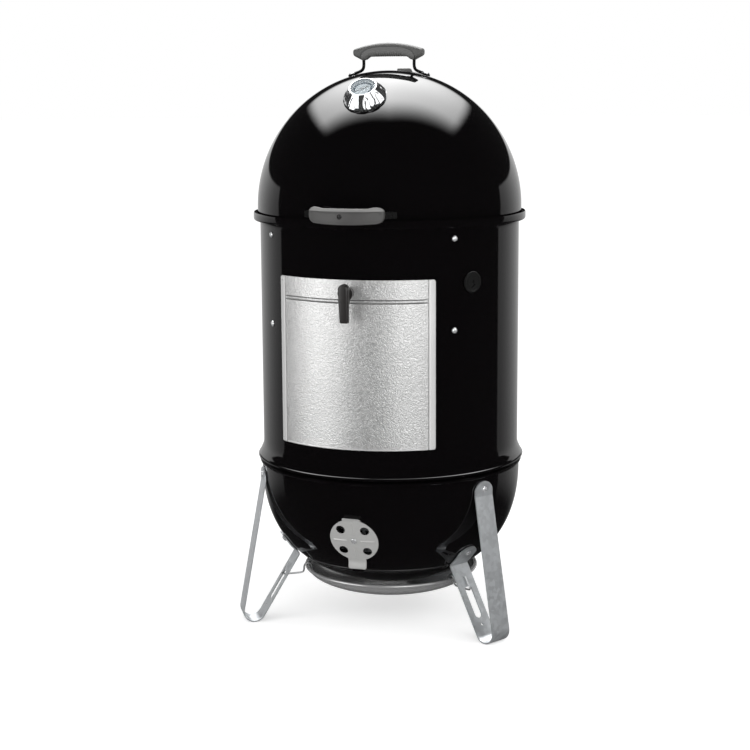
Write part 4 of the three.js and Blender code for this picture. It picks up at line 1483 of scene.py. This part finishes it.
@dataclass
class FuelDoor:
    """The curved aluminium door with its turning latch."""

    radius: float = 278.8
    half_angle: float = 36.2
    bottom: float = 421.0
    top: float = 769.0
    hem: float = 1.1
    hem_width: float = 15.0
    bead_height: float = 725.0
    latch: float = 744.0
    boss: float = 15.5
    lever_back: float = 303.0
    lever_front: float = 322.0
    lever_low: float = 686.0

    def panel(self) -> Blank:
        """The embossed panel with its bead and the latch's hole; the rolled lower edge is made with the hems.

        Returns:
            The blank.
        """
        half = math.radians(self.half_angle) * self.radius
        middle = (self.bottom + self.top) / 2
        outline = [(s, t + middle) for s, t in rounded_box(half, (self.top - self.bottom) / 2, 5.0)]
        wrap = round_wall(self.radius)
        inner = half - self.hem_width

        def place(s: float, t: float, w: float) -> Sequence[float]:
            """Wraps the panel and presses its bead."""
            away = abs(t - self.bead_height)
            pressed = 0.8 * ridge(away, 5.4) - 0.7 * ridge(away - 3.6, 2.4)
            return wrap(s, t, w + pressed * (1 - smoothstep(abs(s), inner - 8, inner - 2)))

        along = np.linspace(-half, half, 61)[1:-1]
        rows = np.linspace(self.bottom, self.top, 13)[1:-1]
        across = [*np.arange(-6.0, 6.1, 0.6) + self.bead_height, *rows]
        hole = circle(4.4, (0, self.latch), 20)
        return bent_sheet(outline, SHEET, place, [hole], along, across)

    def hems(self) -> Blank:
        """The folded strips down both sides and the rolled lip below.

        Returns:
            The blank.
        """
        half = math.radians(self.half_angle) * self.radius
        middle, half_height = (self.bottom + self.top) / 2, (self.top - self.bottom) / 2
        strips = []
        for side in (-1, 1):
            centre = side * (half - self.hem_width / 2)
            strip = rounded_box(self.hem_width / 2, half_height - 1.5, 3.0)
            outline = [(s + centre, t + middle) for s, t in strip]
            ends = [middle + end * (half_height - 9) for end in (-1, 1)]
            holes = [circle(1.5, (centre + side * 1.5, height), 12) for height in ends]
            edge = side * half

            def place(s: float, t: float, w: float, edge: float = edge) -> Sequence[float]:
                """Wraps a strip, rounded at its fold."""
                fold = 0.5 * (1 - smoothstep(abs(s - edge), 0.0, 2.0))
                crease = 0.35 * ridge(abs(s - edge) - self.hem_width + 2.2, 2.4)
                depth = w * (1 - 0.3 * fold) - fold * 0.6 - crease * (w > 1)
                return round_wall(self.radius + 0.25)(s, t, depth)

            along = [edge - side * x for x in (0.5, 1.0, 1.5, 2.2, 6, 10, 11.6, 12.2, 12.8, 13.4, 14.0)]
            strips.append(bent_sheet(outline, SHEET + self.hem - 0.25, place, holes, along, (450, 700)))
        turns = np.linspace(-half + self.hem_width + 1, half - self.hem_width - 1, 60) / self.radius
        reach = self.radius + SHEET
        line = np.array([(reach * math.sin(a), -reach * math.cos(a), self.bottom + 1.5) for a in turns])
        return strips[0].with_parts(strips[1], tube(line, 1.15, 10))

    def lever(self) -> Blank:
        """The tapered lever with its round top and the boss behind it.

        Returns:
            The blank.
        """
        top = self.latch + 9
        round_top = 11.4
        low = self.lever_low
        stations = [(low, 0.72), (low + 0.5, 0.88), (low + 1.5, 0.97), (low + 3, 1.0)]
        stations += [(z, 1.0) for z in np.linspace(low + 8, top, 14)]
        rings = []
        for z, scale in stations:
            share = (z - low) / (top - low)
            rings.append(self.lever_ring(z, (9.3 + 2.1 * share) * scale, share, scale))
        for a in np.radians([8, 16, 24, 32, 40, 48, 56, 64, 71, 77, 82, 86]):
            rings.append(self.lever_ring(top + round_top * math.sin(a), round_top * math.cos(a), 1.0,
                                         0.55 + 0.45 * math.cos(a) ** 0.6))
        face = self.radius + SHEET + 0.8
        neck = lathe([(0, 0), (10.2, 0), (10.6, 0.4), (12.6, 12), (14.6, 20), (self.boss, 23.6),
                      (self.boss, self.lever_back + 3 - face), (0, self.lever_back + 3 - face)], 48)
        return loft(rings).with_parts(neck.moved(seat(face, self.latch)))

    def lever_ring(self, z: float, half: float, share: float, scale: float) -> list[Sequence[float]]:
        """One cross-section of the lever.

        Args:
            z: Its height.
            half: Half its width.
            share: How far up the straight part it is.
            scale: How much its depth is drawn in, for the rounded ends.

        Returns:
            Its points.
        """
        front = self.lever_front - 5.5 * (1 - share) ** 1.6
        back = self.lever_back + 1.5 * (1 - share)
        centre, depth = (front + back) / 2, (front - back) / 2 * scale
        power = 2 / 3.6
        return [(half * squared(math.cos(a), power), -centre - depth * squared(math.sin(a), power), z)
                for a in full_turn(48)]

    def spindle(self) -> Blank:
        """The spindle with the nut that holds the catch."""
        pin = lathe([(0, 0), (3.2, 0), (3.5, 0.4), (3.5, 32.0), (3.1, 32.4), (0, 32.4)], 24)
        nut = hexagonal([(5.5, 0), (6, 0.4), (6, 3.6), (5.5, 4)])
        return pin.with_parts(nut).moved(seat(264.0, self.latch))

    def catch(self) -> Blank:
        """The flat catch behind the door."""
        return bent_sheet(
            rounded_box(28, 7.5, 3.0), 2.0, lambda s, t, w: (s, -268.8 - w, t + self.latch),
            [circle(3.9, (0, 0), 20)])

    def build(self) -> None:
        """Makes and dresses the pieces of the door."""
        forge("door_panel", self.panel(), Paint.DOOR, sharp=40, extra=(self.hems(), Paint.HEM))
        forge("latch_handle", self.lever(), Paint.DARK, sharp=50)
        forge("latch_spindle", self.spindle(), Paint.BOLT)
        forge("latch_catch", self.catch(), Paint.ZINC, bevel=0.3)


# ---------------------------------------------------------------- lid


@dataclass
class Lid:
    """The domed lid with its handle, damper and rivet."""

    radius: float = 282.0
    skirt: float = 873.0
    spring: float = 899.0
    rise: float = 285.0
    foot_at: float = 80.0
    leg_at: float = 55.5
    rod: float = 3.3
    grip_half: float = 76.0
    grip_width: float = 27.0
    grip_top: float = 1241.0

    def seat(self, distance: float, angle: float) -> Matrix:
        """The seat on the lid at a distance from its axis."""
        cosine = math.sqrt(1 - (distance / self.radius) ** 2)
        tilt = math.atan2(cosine / self.rise, distance / self.radius**2)
        return seat(distance, self.spring + self.rise * cosine, tilt, angle)

    def shell(self) -> Blank:
        """The dome with its skirt and vents.

        Returns:
            The blank.
        """
        turns = np.linspace(0, math.pi / 2, 72)
        outer, inner = (
            [((self.radius - inset) * math.cos(a), self.spring + (self.rise - inset) * math.sin(a)) for a in order]
            for inset, order in ((0.0, turns[1:-1]), (SHEET, turns[-2:0:-1])))
        skirt = [(self.radius, z) for z in np.linspace(self.skirt + 0.6, self.spring, 8)]
        back = [(self.radius - SHEET, z) for z in np.linspace(self.spring, self.skirt + 0.6, 8)]
        dome = lathe([(self.radius - 0.6, self.skirt), *skirt, *outer, (0, self.spring + self.rise),
                      (0, self.spring + self.rise - SHEET), *inner, *back], 256)
        spot = joint_seat("lid_damper_turn")
        return drilled(dome, [vent.moved(spot) for vent in Damper().vents()])

    def rod_line(self) -> np.ndarray:
        """The centre line of the handle's rod, from foot to foot.

        Returns:
            Its points.
        """
        leg = self.leg_at
        clearances = ((88.0, 4.6), (72.0, 4.6), (62.0, 6.0), (57.2, 9.5))
        feet = [(at, self.seat(at, 0).translation.z + up) for at, up in clearances]
        side = [*feet, (leg, 1196), (leg, 1212), (leg - 4, 1219), (leg - 12, 1222)]
        left = [(-x, 0, z) for x, z in side]
        right = [(x, 0, z) for x, z in reversed(side)]
        return smooth_line([*left, (0, 0, 1223), *right], 6)

    def bracket(self) -> Blank:
        """The bent rod with a flattened foot at each end."""
        feet = []
        for angle in (90.0, -90.0):
            foot = lathe([(0, 1.0), (9, 1.0), (9.5, 1.5), (9.5, 4.2), (8.8, 4.9), (0, 4.9)], 40)
            feet.append(foot.moved(self.seat(self.foot_at, angle)))
        return tube(self.rod_line(), self.rod, 16).with_parts(*feet)

    def grip(self) -> Blank:
        """The moulded grip, arched above, with a lobe at each end and finger ribs below.

        Returns:
            The blank.
        """
        low_x = [0, 41, 45, 49, 53.5, 58, 66, 72, self.grip_half]
        low_z = [1212.5, 1212.3, 1209.4, 1206.4, 1205.2, 1205.3, 1209.6, 1212.6, 1215]
        rings = []
        for x in grip_stations(self.grip_half, 0.5, 1.6, 3.2, 190):
            end = self.grip_half - abs(x)
            shrink = math.sqrt(max(1 - max(1 - end / 3.2, 0) ** 2, 0.0)) * 0.35 + 0.65
            low = float(np.interp(abs(x), low_x, low_z))
            high = 1228 + (self.grip_top - 1228) * (1 - (x / self.grip_half) ** 2)
            rib = 1.5 * (0.5 + 0.5 * math.cos(2 * math.pi * x / 4.9)) * (1 - smoothstep(abs(x), 26, 36))
            centre, half = (low + high) / 2, (high - low) / 2 * shrink
            width = self.grip_width / 2 * shrink
            ring = []
            for a in full_turn(56):
                y = width * squared(math.cos(a), 2 / 3.4)
                z = centre + half * squared(math.sin(a), 2 / 3.0)
                sink = rib * smoothstep(1226 - z, 0, 13)
                arch = 1 - abs(x / 59.5) ** 3 - max((z - 1211.5) / 21.5, 0) ** 2
                inset = 0.7 * smoothstep(arch, -0.03, 0.06) * smoothstep(abs(y), 8, 12)
                ring.append((x, y - math.copysign(inset + 0.4 * sink, y), z + sink))
            rings.append(ring)
        return loft(rings)

    def build(self) -> None:
        """Makes and dresses the pieces of the lid."""
        forge("lid", self.shell(), Paint.ENAMEL)
        forge("handle_bracket", self.bracket(), Paint.BLACK)
        forge("handle_grip", self.grip(), Paint.HANDLE, sharp=60)
        bolt = DomedBolt(9.4, 6.0, 3.6).blank().raised(4.9)
        for side, angle in (("left", -90.0), ("right", 90.0)):
            forge(f"{side}_handle_bolt", bolt.moved(self.seat(self.foot_at, angle)), Paint.BOLT)
        damper, spot = Damper(), joint_seat("lid_damper_turn")
        forge("lid_damper", damper.blank().moved(spot), Paint.SATIN)
        forge("lid_damper_rivet", damper.rivet().moved(spot), Paint.BOLT)


@dataclass
class Thermometer:
    """The lid's thermometer: a fluted chrome case with a dial, a needle and a stem."""

    face: float = 26.0
    height: float = 27.0
    stem: float = 92.0
    flutes: int = 8
    rest: float = 128.0

    def case(self) -> Blank:
        """The case, with arched flutes pressed into its skirt.

        Returns:
            The blank.
        """
        flank = smooth_line([(43.4, 6.4), (40.2, 11.2), (36.2, 16), (33, 20.4), (30.4, 24)], 5)
        outer = [
            (44.9, -3.1), (45, -1), (44.8, 1.5), (44.3, 4), *[tuple(point) for point in flank],
            (29.6, 25.4), (28.9, 26.5), (27.8, self.height), (26.8, 26.8), (self.face, 26.1),
            (self.face, 21.2)]
        inner = [(5.2, 21), (5.2, 19.4), (27.5, 19.4), (34.2, 15), (42.6, 3), (43.2, -3.1)]
        blank = lathe([*outer, *inner], 240)
        points = blank.points.copy()
        for index, (x, y, z) in enumerate(points):
            reach = math.hypot(x, y)
            if reach < 29.8 or not 3.2 < z < 25 or reach < 44 - z * 0.66:
                continue
            step = 2 * math.pi / self.flutes
            turn = math.atan2(y, x) + step / 2
            away = abs((turn + step / 2) % step - step / 2) * reach
            arch = 8.0 * math.sqrt(max(1 - ((z - 4.0) / 18.0) ** 2, 0.0))
            dent = 2.0 * smoothstep(arch - away, 0.0, 2.2)
            points[index, :2] *= (reach - dent) / reach
        return Blank(points, blank.faces)

    def needle(self) -> Blank:
        """The tapered needle with its hub."""
        taper = [(-1.9, -12), (1.9, -12), (1.6, 0), (0.4, 17), (-0.4, 17), (-1.6, 0)]
        hub = lathe([(0, 22.8), (3, 22.8), (3, 23.4), (2.4, 23.9), (0, 24)], 24)
        turn = Matrix.Rotation(math.radians(self.rest), 4, "Z")
        return prism(taper, 22.9, 23.4).moved(turn).with_parts(hub)

    def build(self) -> None:
        """Makes and dresses the pieces of the thermometer."""
        spot = joint_seat("needle_turn")
        face = self.face - GAP
        forge("thermometer_case", self.case().moved(spot), Paint.CHROME, sharp=40)
        dial = lathe([(0, 21.4), (face, 21.4), (face, 22.1), (face - 0.2, 22.2), (0, 22.2)], 96)
        forge("thermometer_dial", dial.moved(spot), Paint.DIAL)
        forge("thermometer_pointer", self.needle().moved(spot), Paint.DARK)
        lens = lathe([(0, 24.6), (face, 24.4), *domed(face, 26.0, 0.8, 12), (0, 26.8)], 96)
        forge("thermometer_lens", lens.moved(spot), Paint.GLASS)
        tip = -self.stem
        stem = lathe([
            (0, tip), (1.2, 1.2 + tip), (2.4, 3 + tip), (2.4, -14), (4.6, -12.4), (4.6, 20.4), (0, 20.6)], 32)
        forge("thermometer_probe", stem.moved(spot), Paint.BOLT)
        nut = hexagonal([(10.4, -10), (11, -9.4), (11, -6), (10.4, -5.4)])
        bore = prism(circle(5.7, count=24), -12, -4)
        forge("thermometer_nut", drilled(nut, [bore]).moved(spot), Paint.BOLT)


@dataclass
class RimGrip:
    """The bowed grip on the front edge of the lid, with its bracket and screw."""

    height: float = 898.5
    tall: float = 35.0
    half: float = 78.5
    front: float = 318.0
    end_front: float = 296.0
    depth: float = 12.0
    screw_at: float = -7.0

    def face_at(self, x: float) -> float:
        """How far forward the grip's face is at a point of its length."""
        return self.end_front + (self.front - self.end_front) * (1 - (x / self.half) ** 2)

    def bar(self) -> Blank:
        """The bowed bar, with an inset front face and the screw's recess.

        Returns:
            The blank.
        """
        rings = []
        for x in grip_stations(self.half, 0.6, 2, 4, 120):
            end = self.half - abs(x)
            shrink = math.sqrt(max(1 - max(1 - end / 15.0, 0) ** 2, 0.0)) * 0.8 + 0.2
            bow = 3.0 * (x / self.half) ** 2
            low = self.height - self.tall / 2 * (0.15 + 0.85 * shrink) + bow
            scoop = 2.2 * (1 - smoothstep(abs(x), 46, 60))
            high = self.height + self.tall / 2 * (0.3 + 0.7 * shrink) - scoop
            front, back = self.face_at(x), self.face_at(x) - self.depth
            centre_z, half_z = (low + high) / 2, (high - low) / 2
            centre_y, half_y = (front + back) / 2, (front - back) / 2 * (0.6 + 0.4 * shrink)
            ring = []
            for a in full_turn(64):
                y = half_y * squared(math.cos(a), 2 / 3.6)
                z = centre_z + half_z * squared(math.sin(a), 2 / 4.0)
                inside = smoothstep(self.half - 3.5 - abs(x), 0, 1.4)
                inside *= smoothstep(high - 8.2 - z, 0, 1.0)
                inset = inside * smoothstep(z - low, 1.6, 3.2) * (math.cos(a) > 0.2)
                ring.append((x, -centre_y - y + inset, z))
            rings.append(ring)
        bar = loft(rings)
        for radius, end, facets, inwards in ((5.2, -2, 32, 3.4), (2.7, -14, 24, 6)):
            cutter = lathe([(0, end), (radius, end), (radius, 10), (0, 10)], facets)
            cutter = cutter.moved(seat(self.front - inwards, self.height - 1.0))
            bar = drilled(bar, [cutter.moved(Matrix.Translation((self.screw_at, 0, 0)))])
        return bar

    def bracket(self) -> Blank:
        """The black strip behind the grip, with a foot at each end.

        Returns:
            The blank.
        """
        left = [(-97, 266.6), (-84, 271.2), (-76, 279.2), (-56, 289.6), (-28, 299.4)]
        line = smooth_line([*left, (0, 302.6), *mirrored(left)], 5)
        steps = np.linalg.norm(np.diff(line, axis=0), axis=1)
        stations = np.concatenate([[0.0], np.cumsum(steps)])
        sides = np.gradient(line, axis=0)
        sides /= np.linalg.norm(sides, axis=1)[:, None]

        def place(s: float, t: float, w: float) -> Sequence[float]:
            """Follows the bowed line; w is outwards."""
            x, y = (float(np.interp(s, stations, line[:, k])) for k in (0, 1))
            dx, dy = (float(np.interp(s, stations, sides[:, k])) for k in (0, 1))
            return (x - dy * (w - 1), -(y + dx * (w - 1)), t)

        length = float(stations[-1])
        outline = [(s + length / 2, t + 899) for s, t in rounded_box(length / 2, 7.0, 3.0)]
        hole = circle(2.7, (length / 2 + self.screw_at, 898.5), 20)
        return bent_sheet(outline, 2.0, place, [hole], stations[1:-1])

    def screw(self) -> Blank:
        """The pan-head screw with a cross recess.

        Returns:
            The blank.
        """
        body = lathe([
            (0, 0), (4, 0), (4, 1.6), (2.3, 1.6), (2.3, 15), (3.7, 15), *domed(3.9, 15.6, 1.8, 7),
            (0, 17.4)], 32)
        arms = [prism(rounded_box(*half, 0.3), 16.2, 20) for half in ((2.4, 0.5), (0.5, 2.4))]
        cut = drilled(drilled(body, arms[:1]), arms[1:])
        return cut.moved(seat(298.6, self.height)).moved(Matrix.Translation((self.screw_at, 0, 0)))

    def build(self) -> None:
        """Makes and dresses the pieces of the rim grip."""
        forge("rim_grip", self.bar(), Paint.GREY, sharp=50)
        forge("rim_grip_bracket", self.bracket(), Paint.BLACK, bevel=0.3)
        forge("rim_grip_screw", self.screw(), Paint.SHADED_SCREW)


# ---------------------------------------------------------------- studio


@dataclass
class Studio:
    """The floor, the light and the camera."""

    bearing: float = 17.0
    distance: float = 3.575
    eye: float = 1.1495
    pitch: float = 9.834
    yaw: float = 0.533
    roll: float = 0.341
    focal: float = 1662.06
    width: float = 750.0
    sensor: float = 36.0
    floor_radius: float = 60.0
    aim: float = 0.65
    wall_side: Pair = (0.345, 0.375)
    wall_foot: Pair = (-0.40, -0.22)
    wall_top: Pair = (0.115, 0.14)
    box_front: Pair = (-0.25, 0.27)
    box_back: Pair = (1.8, 2.4)
    box_low: Pair = (0.02, 0.06)
    box_glow: float = 11.0
    fill: float = 0.80
    lamps: tuple = (
        ("key_lamp", (2.0, -3.1, 1.2), (2.4, 2.8), 46.0),
        ("left_lamp", (-2.4, -2.5, 1.0), (3.0, 2.8), 54.0),
        ("right_lamp", (3.4, -0.6, 1.9), (2.6, 3.0), 36.0),
    )

    def floor(self) -> None:
        """Lays the pale floor, which polished pieces don't mirror."""
        mesh = bpy.data.meshes.new("studio_floor")
        corners = [(x, y, 0.0) for x, y in circle(self.floor_radius, count=64)]
        mesh.from_pydata(corners, [], [tuple(range(64))])
        mesh.materials.append(material_of(Floor()))
        floor = bpy.data.objects.new("studio_floor", mesh)
        floor.visible_glossy = False
        bpy.context.scene.collection.objects.link(floor)

    def sky(self) -> None:
        """White to look at; in reflections, a soft box overhead and a low white wall behind."""
        world = bpy.data.worlds.new("studio")
        bpy.context.scene.world = world
        world.use_nodes = True
        tree = Tree(world.node_tree)
        turn = math.radians(self.bearing)
        direction = tree.node("ShaderNodeTexCoord", output="Generated")
        side = tree.along(direction, (math.cos(turn), math.sin(turn), 0))
        back = tree.along(direction, (-math.sin(turn), math.cos(turn), 0))
        up = tree.along(direction, (0, 0, 1))
        level = (side * side + back * back).at_least(1e-6) ** 0.5
        ahead = back / level
        wall = ahead.step(*self.wall_side) * up.step(*self.wall_foot) * (1 - up.step(*self.wall_top))
        wall = wall * (0.42 + ahead.step(0.38, 0.85) * 0.26) * (1.10 + up * 2.2).at_least(0.15)
        rise = up.at_least(0.02)
        lateral, behind = abs(side / rise), back / rise
        inside = (1 - lateral).at_least(0.0) * 0.55 + (1 - lateral).step(0.0, 0.22) * 0.45
        edge = behind - lateral * 0.16
        box = inside * edge.step(*self.box_front) / (1 + (behind / 1.4) ** 2.0) * self.box_glow
        box = box * (1 - behind.step(*self.box_back)) * up.step(*self.box_low)
        mirrored = wall + box + 0.02
        path = tree.node("ShaderNodeLightPath", output="Is Glossy Ray")
        seen = tree.node("ShaderNodeLightPath", output="Is Camera Ray")
        soft = self.fill * (1 - path) * (1 - seen) + mirrored * path + seen * 1.0
        light = tree.node("ShaderNodeBackground", None, {"Color": (1, 1, 1, 1), "Strength": soft})
        tree.node("ShaderNodeOutputWorld", None, {"Surface": light})

    def lamp(self, name: str, at: Sequence[float], size: Pair, watts: float) -> None:
        """Hangs a soft lamp that lights everything but the glossy black pieces.

        Args:
            name: The lamp's name.
            at: Where it hangs, in metres; it looks at the middle of the smoker.
            size: Its width and height in metres.
            watts: Its power.
        """
        data = bpy.data.lights.new(name, "AREA")
        data.shape, data.size, data.size_y, data.energy = "RECTANGLE", *size, watts
        lamp = bpy.data.objects.new(name, data)
        lamp.location = at
        view = Vector((0, 0, self.aim)) - Vector(at)
        lamp.rotation_euler = view.to_track_quat("-Z", "Y").to_euler()
        lamp.visible_camera = False
        bpy.context.scene.collection.objects.link(lamp)
        lit = bpy.data.collections.new(f"{name}_lit")
        unlit = {material_of(finish) for finish in (Paint.ENAMEL, Paint.BLACK, Paint.RUBBER)}
        for item in bpy.context.scene.objects:
            if item.type == "MESH" and not unlit & set(item.data.materials[:]):
                lit.objects.link(item)
        lamp.light_linking.receiver_collection = lit

    def camera(self) -> None:
        """Stands the camera in front, a little to the right."""
        turn = math.radians(self.bearing)
        data = bpy.data.cameras.new("camera")
        data.lens = self.focal / self.width * self.sensor
        data.sensor_width = self.sensor
        data.clip_start, data.clip_end = 0.05, 200.0
        camera = bpy.data.objects.new("camera", data)
        place = Vector((self.distance * math.sin(turn), -self.distance * math.cos(turn), self.eye))
        heading = math.atan2(-place.y, -place.x) + math.radians(self.yaw)
        pitch, roll = math.radians(self.pitch), math.radians(-self.roll)
        level = math.cos(pitch)
        ahead = Vector((math.cos(heading) * level, math.sin(heading) * level, -math.sin(pitch)))
        right = ahead.cross(Vector((0, 0, 1))).normalized()
        up = right.cross(ahead)
        level_right = right * math.cos(roll) + up * math.sin(roll)
        level_up = up * math.cos(roll) - right * math.sin(roll)
        grid = Matrix((level_right, level_up, -ahead)).transposed().to_4x4()
        camera.matrix_world = Matrix.Translation(place) @ grid
        bpy.context.scene.collection.objects.link(camera)
        bpy.context.scene.camera = camera

    def build(self) -> None:
        """Sets the studio up."""
        scene = bpy.context.scene
        scene.view_settings.view_transform = "Standard"
        self.floor()
        self.sky()
        for name, at, size, watts in self.lamps:
            self.lamp(name, at, size, watts)
        self.camera()


def main() -> None:
    """Builds every sub-assembly in order, then the studio."""
    logging.basicConfig(level=logging.INFO, format="%(name)s: %(message)s")
    for assembly in (Base(), CentreSection(), FuelDoor(), Lid(), Thermometer(), RimGrip(), Studio()):
        assembly.build()
        log.info("%s is built", type(assembly).__name__)


if __name__ == "__main__":
    main()
